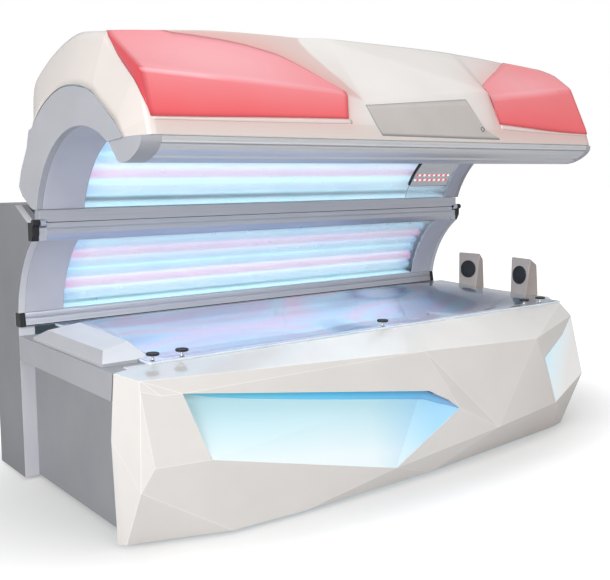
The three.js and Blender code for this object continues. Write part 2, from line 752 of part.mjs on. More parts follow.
// Channel section, open downwards, its outer corner at the given place
function channel(u, v, width, height) {
  return outline([
    [u, v],
    [u + frameWall, v],
    [u + frameWall, v + height - frameWall],
    [u + width - frameWall, v + height - frameWall],
    [u + width - frameWall, v],
    [u + width, v],
    [u + width, v + height],
    [u, v + height],
  ]);
}
const crossShares = [0, 0.26, 0.63, 0.87, 1];
const crossRun = frameHeadX - frameFootX - frameTube - 2 * crossDrop;
const crossPlaces = crossShares.map((share) => frameFootX + crossDrop + crossRun * share);
const crossHeight = frameTube - 2 * crossDrop;
const crossY = [frameFrontY + 1, frameRearY + frameTube - 1];
add(
  'base_frame',
  join(
    alongX(channel(frameFrontY, frameZ, frameTube, frameTube), frameFootX, frameHeadX),
    alongX(channel(frameRearY, frameZ, frameTube, frameTube), ...columnInner),
    alongX(channel(frameFrontY, topTubeZ - frameTube, postWidth, frameTube), railFootX, railHeadX),
    alongX(channel(rearTubeY, rearTubeZ - frameTube, postWidth - 2, frameTube), railFootX, railHeadX),
    ...saddlePlaces.map((x) => alongX(saddle, x - saddleThickness / 2, x + saddleThickness / 2, 10)),
    ...crossPlaces.map((x) => alongY(channel(x, frameZ + crossDrop, frameTube, crossHeight), ...crossY)),
  ),
  'steel',
);

// Levelling feet, their stems up inside the long channels
const padProfile = [
  [0, 0],
  [footPadRadius, 0],
  [footPadRadius, footPadHeight - 3],
  [footPadRadius - 6, footPadHeight],
  [footStemRadius, footPadHeight],
  [footStemRadius, frameZ + frameTube - frameWall - seat],
  [0, frameZ + frameTube - frameWall - seat],
];
const padXs = { foot: frameFootX + 60, head: headX - 150 };
const padYs = { front: frameFrontY + frameTube / 2, rear: frameRearY + frameTube / 2 };
for (const [end, x] of Object.entries(padXs)) {
  for (const [side, y] of Object.entries(padYs)) {
    add(`levelling_foot_${end}_${side}`, turned(padProfile, 12, x, y, 0), 'black');
  }
}

// Ballast box on two cross tubes
const ballastZ = frameZ + crossDrop + crossHeight + seat;
const ballastX = [crossPlaces[2] - 20, crossPlaces[3] + frameTube + 20];
add('ballast_box', block(ballastX, [columnY - 286, columnY - 106], [ballastZ, ballastZ + 110]), 'steel');

// Lock knobs on the front edge of the pane
const knobProfile = [
  [0, 0],
  [knobBaseRadius, 0],
  [knobBaseRadius, knobBase],
  [knobStemRadius, 2 * knobBase],
  [knobStemRadius, knobHeight - knobDisc - 1],
  [knobRadius - 1, knobHeight - knobDisc],
  [knobRadius, knobHeight - knobDisc + 2],
  [knobRadius, knobHeight - 2],
  [knobRadius - 2, knobHeight],
  [0, knobHeight],
];
knobXs.forEach((x, i) => {
  const z = paneTopZ + seat;
  const [length, width, depth] = knobSlot;
  const slot = block(
    [x - length / 2, x + length / 2],
    [knobY - width / 2, knobY + width / 2],
    [z + knobHeight - depth, z + knobHeight + 1],
  );
  add(`pane_lock_${i + 1}`, cut(turned(knobProfile, 18, x, knobY, z), slot), 'black');
});

// Rear column
// Side arc from the top of the lower rail to the underside of the upper rail
const upperY = hingeY;
const sideArc = arcThrough(
  [lowerRail.front + lowerRail.lean, lowerRail.top + seat],
  [upperY + upperRail.lean, upperRail.bottom - seat],
  sideSagitta,
);
const slopeY = columnY - 18;
const slopeFoot = [slopeY - topSlopeRun, columnHeight - topSlopeDrop];

// Outline of the column end: rear and floor edges, sloping top, notches for the rails, the side arc between
const columnOutline = new THREE.Shape();
columnOutline.moveTo(columnY, skirtZ - 2);
columnOutline.lineTo(rearY, skirtZ - 2);
columnOutline.lineTo(rearY, columnHeight);
columnOutline.lineTo(slopeY, columnHeight);
columnOutline.lineTo(...slopeFoot);
columnOutline.lineTo(upperY + upperRail.depth + seat, upperRail.top - 2);
columnOutline.lineTo(upperY + upperRail.depth + seat, upperRail.bottom - seat);
const sideEnds = [sideArc.to, sideArc.from];
columnOutline.absarc(...sideArc.centre, sideArc.radius, ...sideEnds, true);
columnOutline.lineTo(lowerRail.front + lowerRail.depth + seat, lowerRail.top + seat);
columnOutline.lineTo(lowerRail.front + lowerRail.depth + seat, lowerRail.bottom - seat);
columnOutline.lineTo(columnY, lowerRail.bottom - seat);

// The lever pin of the canopy, and the strut that pulls on it
const leverPin = [hingeY + leverReach, hingeHeight + leverRise];
const strutPivot = [rearY - strutPivotInset, hingeHeight - strutPivotDrop];
const strutWay = [leverPin[0] - strutPivot[0], leverPin[1] - strutPivot[1]];
const strutSpan = Math.hypot(...strutWay);
const strutAim = [strutWay[0] / strutSpan, strutWay[1] / strutSpan];
const leverRadius = Math.hypot(leverReach, leverRise);
const swing = openingAngle * Math.PI / 180;
// How far the pin leaves the straight line of the rod
const pinSway = leverRadius * (1 - Math.cos(swing / 2));
const strutHole = leverPinRadius + pinSway / 2 + 2.5;
const strutSide = [strutAim[1], -strutAim[0]];
const strutShift = pinSway / 2;
const strutInset = endPlate + 51;
const strutFoot = [strutPivot[0] + strutSide[0] * strutShift, strutPivot[1] + strutSide[1] * strutShift];

const ends = [
  { name: 'foot', plane: footX, side: 1, strip: sideStripFoot, returnWidth: endPanelInset + endPanelWall },
  { name: 'head', plane: headX, side: -1, strip: sideStripHead, returnWidth: endPlate },
];

// A span along X measured inwards from an end plane
function span({ plane, side }, near, far) {
  const a = plane + side * near;
  const b = plane + side * far;
  return [Math.min(a, b), Math.max(a, b)];
}

// A body drawn with its axis on Z from the strut pivot, turned to lie along the strut
function alongStrut(geometry, x) {
  const tilt = Math.atan2(-strutAim[0], strutAim[1]);
  return geometry.rotateX(tilt).translate(x, ...strutFoot);
}

const lowerRailOutline = outline([
  [lowerRail.front, lowerRail.bottom],
  [lowerRail.front + lowerRail.depth, lowerRail.bottom],
  [lowerRail.front + lowerRail.depth, lowerRail.top],
  [lowerRail.front + lowerRail.lean, lowerRail.top],
  [lowerRail.front + 3, lowerRail.bottom + 12],
]);
const upperRailOutline = outline([
  [upperY + upperRail.lean, upperRail.bottom],
  [upperY + upperRail.depth, upperRail.bottom],
  [upperY + upperRail.depth, upperRail.top],
  [upperY, upperRail.top],
  [upperY, upperRail.chin],
]);

// A sheet on the side arc that ends square under the upper rail
function underRail(wall, [x0, x1]) {
  const room = block(
    [x0 - 1, x1 + 1],
    [upperY - 100, upperY + 200],
    [upperRail.bottom - seat, upperRail.top],
  );
  return cut(arcBand(sideArc, 0, wall, x0, x1), room);
}

// The rails are hollow profiles, closed at both ends by their caps
function hollow(shape, bore) {
  const profile = shape.clone();
  profile.holes.push(new THREE.Path(bore.map(([u, v]) => new THREE.Vector2(u, v))));
  return profile;
}
const lowerRailBore = [
  [lowerRail.front + railWall + 4, lowerRail.bottom + railWall],
  [lowerRail.front + lowerRail.depth - railWall, lowerRail.bottom + railWall],
  [lowerRail.front + lowerRail.depth - railWall, lowerRail.top - railWall],
  [lowerRail.front + lowerRail.lean + railWall, lowerRail.top - railWall],
];
const upperRailBore = [
  [upperY + upperRail.lean + railWall, upperRail.bottom + railWall],
  [upperY + upperRail.depth - railWall, upperRail.bottom + railWall],
  [upperY + upperRail.depth - railWall, upperRail.top - railWall],
  [upperY + railWall, upperRail.top - railWall],
  [upperY + railWall, upperRail.chin + railWall],
];

const returnZ = [skirtZ - 2, lowerRail.bottom - seat];
for (const end of ends) {
  const pivotPin = span(end, endPlate - 1, strutInset + strutEyeWidth / 2 + 2);
  add(
    `column_end_${end.name}`,
    join(
      alongX(columnOutline, ...span(end, 0, endPlate), 12),
      block(span(end, 0, end.returnWidth), [columnY, columnY + returnWall], returnZ),
      rod(...pivotPin, ...strutFoot, leverPinRadius),
    ),
    'grey',
  );
  add(`lower_rail_cap_${end.name}`, alongX(lowerRailOutline, ...span(end, 0, endPlate)), 'black');
  const pinEnd = endPlate + 3 + hingeEyeWidth;
  add(
    `hinge_cap_${end.name}`,
    join(
      alongX(upperRailOutline, ...span(end, 0, endPlate)),
      rod(...span(end, 0, endPlate), hingeY, hingeHeight, hingeEyeRadius - 1, 20),
      rod(...span(end, endPlate - 1, pinEnd), hingeY, hingeHeight, hingePinRadius, 20),
    ),
    'black',
  );
  add(
    `side_end_strip_${end.name}`,
    underRail(curvedWall, span(end, endPlate + seat, endPlate + end.strip - seat)),
    'palegrey',
  );

  // Strut: a cylinder on the pivot pin, and a rod with an eye round the lever pin
  const strutX = end.plane + end.side * strutInset;
  const barrel = [
    [0, 16],
    [strutRadius, 16],
    [strutRadius, strutLength - 4],
    [strutRadius - 4, strutLength],
    [strutRodRadius + seat, strutLength],
    [strutRodRadius + seat, strutLength - 160],
    [0, strutLength - 160],
  ];
  const eyeSpan = [strutX - strutEyeWidth / 2, strutX + strutEyeWidth / 2];
  add(
    `strut_cylinder_${end.name}`,
    cut(
      join(alongStrut(turned(barrel, 16), strutX), rod(...eyeSpan, ...strutFoot, strutEyeRadius, 20)),
      rod(eyeSpan[0] - 5, eyeSpan[1] + 5, ...strutFoot, leverPinRadius + seat, 16),
    ),
    'black',
  );
  const eyeAt = [strutFoot[0] + strutAim[0] * strutSpan, strutFoot[1] + strutAim[1] * strutSpan];
  const rodProfile = [
    [0, strutLength - 155],
    [strutRodRadius, strutLength - 155],
    [strutRodRadius, strutSpan - strutHole - 2],
    [0, strutSpan - strutHole - 2],
  ];
  add(
    `strut_rod_${end.name}`,
    cut(
      join(alongStrut(turned(rodProfile, 12), strutX), rod(...eyeSpan, ...eyeAt, strutHole + 5, 24)),
      rod(eyeSpan[0] - 5, eyeSpan[1] + 5, ...eyeAt, strutHole, 24),
    ),
    'aluminium',
  );
}

// Rails, pane, lamps and reflector of the side wall
const eyeRoom = endPlate + hingeEyeWidth + 7;
add('side_lower_rail', alongX(hollow(lowerRailOutline, lowerRailBore), ...columnInner), 'aluminium');
const upperRailX = [footX + eyeRoom, headX - eyeRoom];
add('side_upper_rail', alongX(hollow(upperRailOutline, upperRailBore), ...upperRailX), 'aluminium');
const sidePaneX = [footX + endPlate + sideStripFoot, headX - endPlate - sideStripHead];
add('side_pane', underRail(curvedWall - 1, sidePaneX), 'acrylic');
const sideLampX = [sidePaneX[0] - holderLength - 5, sidePaneX[1] + holderLength + 5];
const sideTrim = 40;
const sideSweep = sideArc.to - sideArc.from - 2 * sideTrim / sideArc.radius;
const sidePitch = (sideArc.radius + lampStandoff) * sideSweep / (sideLampCount - 1);
const sideLampRadius = sideLampFill * sidePitch;
const sideReflectorStandoff = lampStandoff + sideLampRadius + lampClearance;
const sideBank = [sideLampX, lampStandoff, sideReflectorStandoff, sideTrim, sideLampRadius];
add('side_lamps', lampBank(sideArc, sideLampCount, ...sideBank), 'lamp');
const sideSheet = [sideReflectorStandoff, sideReflectorStandoff + reflectorWall];
add('side_reflector', arcBand(sideArc, ...sideSheet, ...columnInner, 12), 'mirror');

// Sheet covers of the column, with slots for the levers and a louvred fan opening
const topOutline = outline([
  [rearY, columnHeight],
  [slopeY, columnHeight],
  [slopeFoot[0] + 0.5, slopeFoot[1] + 0.3],
  [slopeFoot[0] + 0.5 + sheetWall / 2, slopeFoot[1] - sheetWall],
  [slopeY + 1, columnHeight - sheetWall],
  [rearY, columnHeight - sheetWall],
]);
const leverSlots = ends.map((end) => block(
  span(end, strutInset - 30, strutInset + 15),
  [slopeFoot[0] - 10, slopeFoot[0] + 92],
  [slopeFoot[1] - 40, columnHeight - sheetWall - 1],
));
add('column_top_cover', cut(alongX(topOutline, ...columnInner), ...leverSlots), 'grey');

const rearPanelY = rearY - rearPanelInset;
const louvres = [];
const louvrePitch = 24;
const louvreHeight = 10;
for (let z = -fanRadius + louvrePitch / 2; z < fanRadius; z += louvrePitch) {
  const half = Math.sqrt(fanRadius ** 2 - z ** 2);
  louvres.push(block(
    [fanX - half, fanX + half],
    [rearPanelY - 10 * sheetWall, rearPanelY + 10 * sheetWall],
    [fanZ + z - louvreHeight / 2, fanZ + z + louvreHeight / 2],
  ));
}
const rearPanelZ = [skirtZ - 2, columnHeight - sheetWall - seat];
const rearPanel = block(columnInner, [rearPanelY - sheetWall, rearPanelY], rearPanelZ);
const glandAt = [headX - 300, 120];
const glandRadius = 12;
const glandHole = new THREE.CylinderGeometry(glandRadius - 2 + seat, glandRadius - 2 + seat, 60, 20);
add(
  'column_rear_panel',
  cut(rearPanel, ...louvres, glandHole.translate(glandAt[0], rearPanelY, glandAt[1])),
  'grey',
);

// Gland for the mains lead: flange outside, sleeve through the rear panel
const glandProfile = [
  [glandRadius - 6, 0],
  [glandRadius - 2, 0],
  [glandRadius - 2, 30],
  [glandRadius + 4, 30],
  [glandRadius + 4, 35],
  [glandRadius - 3, 37.5],
  [glandRadius - 6, 37.5],
  [glandRadius - 6, 0],
];
add(
  'mains_gland',
  turned(glandProfile, 20).rotateX(-Math.PI / 2).translate(glandAt[0], rearPanelY + seat - 30, glandAt[1]),
  'black',
);

// Cooling fan behind the louvres: shroud with a three-armed motor mount, and an impeller on its shaft
const shroudY = rearPanelY - sheetWall - seat;
const shroudProfile = [
  [fanRadius + 2, 0],
  [fanRadius + fanWall, 0],
  [fanRadius + fanWall, fanDepth - 5],
  [fanRadius + 18, fanDepth - 5],
  [fanRadius + 18, fanDepth],
  [fanRadius + 2, fanDepth],
  [fanRadius + 2, 0],
];
const facing = (geometry) => geometry.rotateX(-Math.PI / 2).translate(fanX, shroudY - fanDepth, fanZ);
const motorRadius = 34;
const motorLength = 22;
const shaftRadius = 6;
const shaftLength = 50;
const arms = [0, 1, 2].map((i) => (
  new THREE.BoxGeometry(fanRadius + 3, 16, 6)
    .translate((fanRadius + 3) / 2, 0, 3)
    .rotateZ(i * 2 * Math.PI / 3)
));
const motor = turned([
  [0, 0],
  [motorRadius, 0],
  [motorRadius, motorLength],
  [shaftRadius, motorLength],
  [shaftRadius, shaftLength],
  [0, shaftLength],
], 20);
add('fan_shroud', facing(join(turned(shroudProfile, 24), ...arms, motor)), 'black');

const hubRadius = 36;
const hub = turned([
  [shaftRadius + seat, motorLength + seat],
  [hubRadius, motorLength + seat],
  [hubRadius, shaftLength - 4],
  [shaftRadius + seat, shaftLength - 4],
  [shaftRadius + seat, motorLength + seat],
], 24);
const blades = [];
for (let i = 0; i < fanBlades; i += 1) {
  const reach = fanRadius - 6 - hubRadius + 8;
  const blade = new THREE.BoxGeometry(reach, 44, 3).rotateX(0.42);
  blades.push(blade.translate(hubRadius - 8 + reach / 2, 0, 35).rotateZ(i * 2 * Math.PI / fanBlades));
}
add('fan_impeller', facing(join(hub, ...blades)), 'black');

// Speakers on the head deck
function speakerBody(y, turn) {
  const w = speakerWidth / 2;
  const d = speakerDepth / 2;
  const h = speakerHeight;
  const c = {
    a: [-d, -w * 0.8, 0],
    b: [d, -w * 0.62, 0],
    c: [d, w * 0.62, 0],
    d: [-d, w * 0.8, 0],
    e: [-d * 0.72, -w, h],
    f: [d * 0.7, -w * 0.6, h * 0.82],
    g: [d * 0.7, w * 0.6, h * 0.82],
    h: [-d * 0.72, w, h],
  };
  return polyhedron(c, capFaces).rotateZ(turn).translate(speakerX, y, deckHeight + seat);
}

const frontLean = Math.atan2(speakerDepth / 2 * 0.28, speakerHeight);
for (const [place, y] of Object.entries(speakerPlaces)) {
  const turn = (y < 0 ? -1 : 1) * speakerTurn * Math.PI / 180;
  add(`speaker_housing_${place}`, speakerBody(y, turn), 'white');
  const grilleProfile = [
    [0, 0],
    [grilleRadius, 0],
    [grilleRadius, 4],
    [grilleRadius - 5, 6],
    [grilleRadius * 0.6, 4],
    [0, 2.5],
  ];
  const grilleZ = speakerHeight * 0.55;
  const grille = turned(grilleProfile, 24).translate(0, 0, seat).rotateY(-Math.PI / 2 + frontLean);
  grille.translate(-speakerDepth / 2 + Math.tan(frontLean) * grilleZ, 0, grilleZ);
  add(`speaker_grille_${place}`, grille.rotateZ(turn).translate(speakerX, y, deckHeight + seat), 'black');
}

// Canopy
const canopyFootX = footX + canopyFootInset;
const canopyHeadX = headX - canopyHeadInset;
const fromHinge = ([dy, dz]) => [hingeY + dy, hingeHeight + dz];
// The canopy's sections are drawn for this reach from the hinge to the front plane, and stretch with the bed
const sectionReach = 772;
const stretch = (hingeY - frontY) / sectionReach;
const overBed = ([dy, dz]) => fromHinge([dy * stretch, dz]);

// Inner arch from the rear rail to the front rail
const archRear = overBed([8, 44.6]);
const archFront = overBed([-566, 268.5]);
const arch = arcThrough(archRear, archFront, archSagitta);

// Front rail: the grip, a trough with closed ends that is open towards the inside of the hood
const frontRailPoints = [
  [-769, 283.8], [-766, 263], [-742, 239], [-691, 214], [-633, 208], [-597, 236], [-566, 267.2],
].map(overBed);
const frontRailBore = [
  [-760, 300], [-758, 266], [-737, 245], [-689, 219], [-635, 213], [-600, 241], [-588, 300],
].map(overBed);
const frontRailX = [canopyFootX + 6, canopyHeadX - 40];
const frontRailHollow = alongX(outline(frontRailBore), frontRailX[0] + railWall, frontRailX[1] - railWall);
add('canopy_front_rail', cut(alongX(outline(frontRailPoints), ...frontRailX), frontRailHollow), 'aluminium');

// Hood: sections in Y and Z from the lip over the top to the rear return
const rimSection = [
  [-672, 280.5], [-658, 295], [-622, 327], [-472, 423], [-387, 446], [-292, 454],
  [-202, 444], [-115, 416], [-52, 385], [-7, 355], [28, 326],
].map(overBed);
const crestSection = [
  [-769, 286], [-752, 335], [-701, 473], [-491, 598], [-372, 613], [-272, 615],
  [-143, 589], [-12, 542], [82, 483], [97, 373], [34, 330],
].map(overBed);
// How far each row rises with the crown of the hood
const crownShare = [0, 0, 0, 0.8, 1, 1, 1, 0.9, 0.7, 0.1, 0];
// Facet line on the front: depth and height change where the flat middle part begins and ends
const facetStations = [
  { x: canopyFootX + hoodBevel, facet: [-701, 473], brow: [-491, 598] },
  { x: canopyFootX + 420, facet: [-701, 458], brow: [-491, 602] },
  { x: canopyFootX + 772, facet: [-701, 443], brow: [-491, 598] },
  { x: canopyFootX + 896, facet: [-712, 419], brow: [-495, 606] },
  { x: canopyHeadX - 649, facet: [-712, 483], brow: [-515, 604] },
  { x: canopyHeadX - 601, facet: [-701, 456], brow: [-517, 602] },
  { x: canopyHeadX - 300, facet: [-680, 490], brow: [-505, 604] },
  { x: canopyHeadX - hoodBevel, facet: [-657, 527], brow: [-552, 602] },
];
const hoodMid = (canopyFootX + canopyHeadX) / 2;
const hoodHalf = (canopyHeadX - canopyFootX) / 2 - hoodBevel;

function hoodSection({ x, facet, brow }) {
  const lift = hoodCrown * (1 - ((x - hoodMid) / hoodHalf) ** 2);
  return crestSection.map((point, row) => {
    let [y, z] = point;
    if (row === 2) [y, z] = overBed(facet);
    if (row === 3) [y, z] = overBed(brow);
    return [y, z + lift * crownShare[row]];
  });
}

// The same section moved inwards by the wall
function thinner(section, wall) {
  return section.map((point, i) => {
    const before = section[Math.max(i - 1, 0)];
    const after = section[Math.min(i + 1, section.length - 1)];
    const way = [after[0] - before[0], after[1] - before[1]];
    const length = Math.hypot(...way);
    return [point[0] + way[1] / length * wall, point[1] - way[0] / length * wall];
  });
}

const hoodOuter = [];
const hoodInner = [];
function addHoodSection(x, xInside, section) {
  hoodOuter.push(section.map(([y, z]) => [x, y, z]));
  hoodInner.push(thinner(section, hoodWall).map(([y, z]) => [xInside, y, z]));
}
addHoodSection(canopyFootX, canopyFootX, rimSection);
facetStations.forEach((station, i) => {
  const last = facetStations.length - 1;
  const shift = (i === 0 ? hoodWall : 0) - (i === last ? hoodWall : 0);
  addHoodSection(station.x, station.x + shift, hoodSection(station));
});
addHoodSection(canopyHeadX, canopyHeadX, rimSection);
const hoodShell = gridWall(hoodOuter, hoodInner);

// Outlines, seen from the front, of what is let into the hood: two tinted panels and the bezel
const inlays = {
  canopy_red_panel_foot: {
    look: 'red',
    points: [
      [canopyFootX + 54, 340], [canopyFootX + 789, 356], [canopyFootX + 822, 440], [canopyFootX + 773, 468],
      [canopyFootX + 698, 506], [canopyFootX + 644, 552], [canopyFootX + 529, 573], [canopyFootX + 333, 588],
      [canopyFootX + 70, 598],
    ],
  },
  canopy_red_panel_head: {
    look: 'red',
    points: [
      [canopyHeadX - 599, 362], [canopyHeadX - 52, 346], [canopyHeadX - 50, 520], [canopyHeadX - 70, 588],
      [canopyHeadX - 277, 618], [canopyHeadX - 612, 514], [canopyHeadX - 601, 470],
    ],
  },
  canopy_bezel: {
    look: 'bezel',
    points: [
      [canopyFootX + 938, 305], [canopyHeadX - 627, 301], [canopyHeadX - 782, 451], [canopyFootX + 897, 402],
    ],
  },
};

// A closed outline moved inwards by a margin, its corners kept sharp
function shrink(points, margin) {
  const count = points.length;
  return points.map((point, i) => {
    const before = points[(i + count - 1) % count];
    const after = points[(i + 1) % count];
    const unit = (a, b) => new THREE.Vector2(b[0] - a[0], b[1] - a[1]).normalize();
    const into = unit(before, point);
    const out = unit(point, after);
    const normal = new THREE.Vector2(-into.y - out.y, into.x + out.x).normalize();
    const scale = margin / Math.max(normal.dot(new THREE.Vector2(-into.y, into.x)), 0.2);
    return [point[0] + normal.x * scale, point[1] + normal.y * scale];
  });
}

function inlayTool(points, margin) {
  const raised = points.map(([x, dz]) => [x, hingeHeight + dz]);
  return alongY(outline(shrink(raised, margin)), overBed([-900, 0])[0], overBed([-330, 0])[0]);
}

const openings = Object.values(inlays).map(({ points }) => inlayTool(points, 0));
add('canopy_cover', cut(hoodShell, ...openings), 'white');
for (const [name, { look, points }] of Object.entries(inlays)) {
  add(name, common(hoodShell, inlayTool(points, inlayGap)), look);
}

// End plates with the curved flange inside, shaped by the rim of the hood and the arch
const rimInside = thinner(rimSection, hoodWall + seat);
const plateRear = [[72, 254], [134, 182], [161, 124], [135, 91], [44, 45.3]].map(overBed);
const plateShape = new THREE.Shape();
plateShape.moveTo(...overBed([-566, 268.5]));
plateShape.lineTo(...overBed([-655, 277]));
for (const point of rimInside.slice(1)) plateShape.lineTo(...point);
for (const point of plateRear) plateShape.lineTo(...point);
plateShape.absarc(...arch.centre, arch.radius, arch.from, arch.to, false);
const canopyPlanes = [
  { name: 'foot', plane: canopyFootX, side: 1, strip: canopyStripFoot },
  { name: 'head', plane: canopyHeadX, side: -1, strip: canopyStripHead },
];
for (const end of canopyPlanes) {
  add(
    `canopy_end_${end.name}`,
    join(
      alongX(plateShape, ...span(end, 0, endPlate), 14),
      arcBand(arch, 0, curvedWall, ...span(end, endPlate - 1, endPlate + end.strip - seat)),
    ),
    'grey',
  );
}

// Pane, lamps, reflector, face light
const canopyPaneX = [
  canopyFootX + endPlate + canopyStripFoot,
  canopyHeadX - endPlate - canopyStripHead,
];
const canopyInner = [canopyFootX + endPlate + seat, canopyHeadX - endPlate - seat];
add('canopy_pane', arcBand(arch, 0, curvedWall - 1, ...canopyPaneX), 'acrylic');
const canopyLampX = [canopyPaneX[0] - holderLength - 5, canopyPaneX[1] + holderLength + 5];
const canopyTrim = 55;
const canopyBank = [canopyLampX, lampStandoff, reflectorStandoff, canopyTrim];
add('canopy_lamps', lampBank(arch, canopyLampCount, ...canopyBank), 'lamp');
const canopySheet = [reflectorStandoff, reflectorStandoff + reflectorWall];
add('canopy_reflector', arcBand(arch, ...canopySheet, ...canopyInner, 20), 'mirror');
const faceLightArc = { ...arch, from: arch.from + 0.03, to: arch.from + 0.62 };
const faceLightThickness = 14;
const faceLightGap = flatDepth(arch, 0) + seat;
const faceLightX = [canopyPaneX[1] - 282, canopyPaneX[1] - 30];
add('face_light', arcBand(faceLightArc, -faceLightThickness, -faceLightGap, ...faceLightX, 0, 3), 'bezel');

// Rear rail: hinge eyes on the pins of the caps, and the levers that the struts pull on
const rearRailShape = outline([[0, 1.3], [43, 1.3], [43, 30], [34, 44], [0, 44]].map(fromHinge));
const eyes = ends.map((end) => rod(
  ...span(end, endPlate + 2, endPlate + 2 + hingeEyeWidth),
  hingeY,
  hingeHeight,
  hingeEyeRadius,
  24,
));
const levers = ends.map((end) => {
  const leverFace = strutInset - strutEyeWidth / 2 - 2;
  const leverSpan = span(end, leverFace - leverThickness, leverFace);
  const bar = alongX(
    outline([
      [20, 6],
      [leverReach, leverRise - leverEnd],
      [leverReach, leverRise + leverEnd],
      [20, 36],
    ].map(fromHinge)),
    ...leverSpan,
  );
  const round = rod(...leverSpan, ...leverPin, leverEnd, 20);
  const pin = rod(...span(end, leverFace - 1, leverFace + strutEyeWidth + 4), ...leverPin, leverPinRadius);
  return join(bar, round, pin);
});
const rearRailX = [footX + endPlate + 2, headX - endPlate - 2];
const bores = ends.map((end) => {
  const boreSpan = span(end, endPlate - 5, endPlate + 10 + hingeEyeWidth);
  return rod(...boreSpan, hingeY, hingeHeight, hingePinRadius + seat, 20);
});
const rearRail = join(alongX(rearRailShape, ...rearRailX), ...eyes, ...levers);
add('canopy_rear_rail', cut(rearRail, ...bores), 'aluminium');

// Rear cover from the hood's return down to the rear rail
const coverLine = [[44, 331], [72, 260], [134, 182], [161, 124], [135, 91], [50, 47]].map(overBed);
const coverInside = thinner(coverLine, rearCoverWall);
add('canopy_rear_cover', alongX(outline([...coverLine, ...coverInside.reverse()]), ...canopyInner), 'grey');

export default group;
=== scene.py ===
import bmesh
import bpy
import math
import numpy as np
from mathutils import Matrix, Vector


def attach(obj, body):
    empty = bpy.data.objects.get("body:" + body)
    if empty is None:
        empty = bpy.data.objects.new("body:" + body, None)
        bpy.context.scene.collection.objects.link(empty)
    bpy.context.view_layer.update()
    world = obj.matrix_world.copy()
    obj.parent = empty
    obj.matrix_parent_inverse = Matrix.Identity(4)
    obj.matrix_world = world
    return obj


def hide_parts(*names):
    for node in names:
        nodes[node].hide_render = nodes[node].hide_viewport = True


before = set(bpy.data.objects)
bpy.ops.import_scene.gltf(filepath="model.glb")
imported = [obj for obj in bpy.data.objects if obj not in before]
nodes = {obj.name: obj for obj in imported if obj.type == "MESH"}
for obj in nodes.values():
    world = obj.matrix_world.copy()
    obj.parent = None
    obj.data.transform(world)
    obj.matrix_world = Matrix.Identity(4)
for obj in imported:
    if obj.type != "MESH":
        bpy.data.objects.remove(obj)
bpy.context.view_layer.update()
mm = 0.001  # every size below is in millimetres
hinge = np.array([172.0, 985.0])  # Y and Z of the canopy's pins
deckZ = 560  # height of the bed's deck
print("frame loaded:", len(nodes), "solids")


# sRGB hex to linear: below 0.04045 divide by 12.92, above it the 2.4 power law
def tone(text):
    c = np.array([int(text[i:i + 2], 16) for i in (1, 3, 5)]) / 255
    c = np.where(c <= 0.04045, c / 12.92, ((c + 0.055) / 1.055) ** 2.4)
    return (*c.tolist(), 1.0)


# sockets of a node, _0 being one by number: a plain value, a node for its first output, or a (node, output) link
def fill(node, **sockets):
    for key, value in sockets.items():
        socket = node.inputs[int(key[1:]) if key[0] == "_" else key.replace("_", " ")]
        source, output = value if isinstance(value, tuple) and len(value) == 2 else (value, 0)
        if hasattr(source, "outputs"):
            node.id_data.links.new(source.outputs[output], socket)
        else:
            socket.default_value = value
    return node


# one shader node of a kind, with its settings, whose names are in lower case, and its sockets
def put(tree, kind, **values):
    node = tree.nodes.new("ShaderNode" + kind)
    for key in [key for key in values if key[0].islower()]:
        setattr(node, key, values.pop(key))
    return fill(node, **values)


# a new material with its shader and output, ready for the nodes of its finish
def blank(name, **sockets):
    material = bpy.data.materials.new(name)
    material.use_nodes = True
    tree = material.node_tree
    tree.nodes.clear()
    shader = put(tree, "BsdfPrincipled", **sockets)
    put(tree, "OutputMaterial", Surface=shader)
    return material, tree, shader


# colour stops of a ramp, as (place, hex)
def stops(ramp, *pairs):
    band = ramp.color_ramp
    while len(band.elements) < len(pairs):
        band.elements.new(0.5)
    for element, (place, colour) in zip(band.elements, pairs):
        element.position = place
        element.color = tone(colour)


# tones that change with a noise of a size in mm on Object coordinates, drawn out along X where stretch is small
def tones(tree, place, size, detail, *pairs, stretch=1.0):
    lie = (place, "Object")
    if stretch != 1:
        lie = put(tree, "Mapping", Vector=lie, Scale=(stretch, 1.0, 1.0))
    noise = put(tree, "TexNoise", Vector=lie, Scale=1 / (size * mm), Detail=detail)
    ramp = put(tree, "ValToRGB", Fac=noise)
    stops(ramp, *pairs)
    return noise, ramp


# share from 0 to 1 of a value on its way over a span
def fade(value, start, span):
    return np.clip((value - start) / span, 0, 1)


# points of the unit circle at equal angles
def circle(sides):
    angle = np.linspace(0, 2 * math.pi, sides, endpoint=False)
    return np.column_stack([np.cos(angle), np.sin(angle)])


# rows x columns of points to quads, the last row or column joined to the first where asked
def gridQuads(rows, columns, wrapRows=False, wrapColumns=False):
    i = np.arange(rows if wrapRows else rows - 1)
    j = np.arange(columns if wrapColumns else columns - 1)
    i, j = (a.ravel() for a in np.meshgrid(i, j, indexing="ij"))
    p, q = (i + 1) % rows, (j + 1) % columns
    return np.column_stack([i * columns + j, p * columns + j, p * columns + q, i * columns + q])


# a grid of points as (points, faces), the faces turned over where rows and columns run left-handed
def gridShape(points, over=False):
    quads = gridQuads(*points.shape[:2])
    return points.reshape(-1, 3), (quads[:, ::-1] if over else quads).tolist()


# several (points, faces) as one, the face numbers moved on past the points before them
def together(*shapes):
    starts = np.cumsum([0] + [len(points) for points, faces in shapes])
    moved = [np.add(face, start) for (points, faces), start in zip(shapes, starts) for face in faces]
    return np.vstack([points for points, faces in shapes]), moved


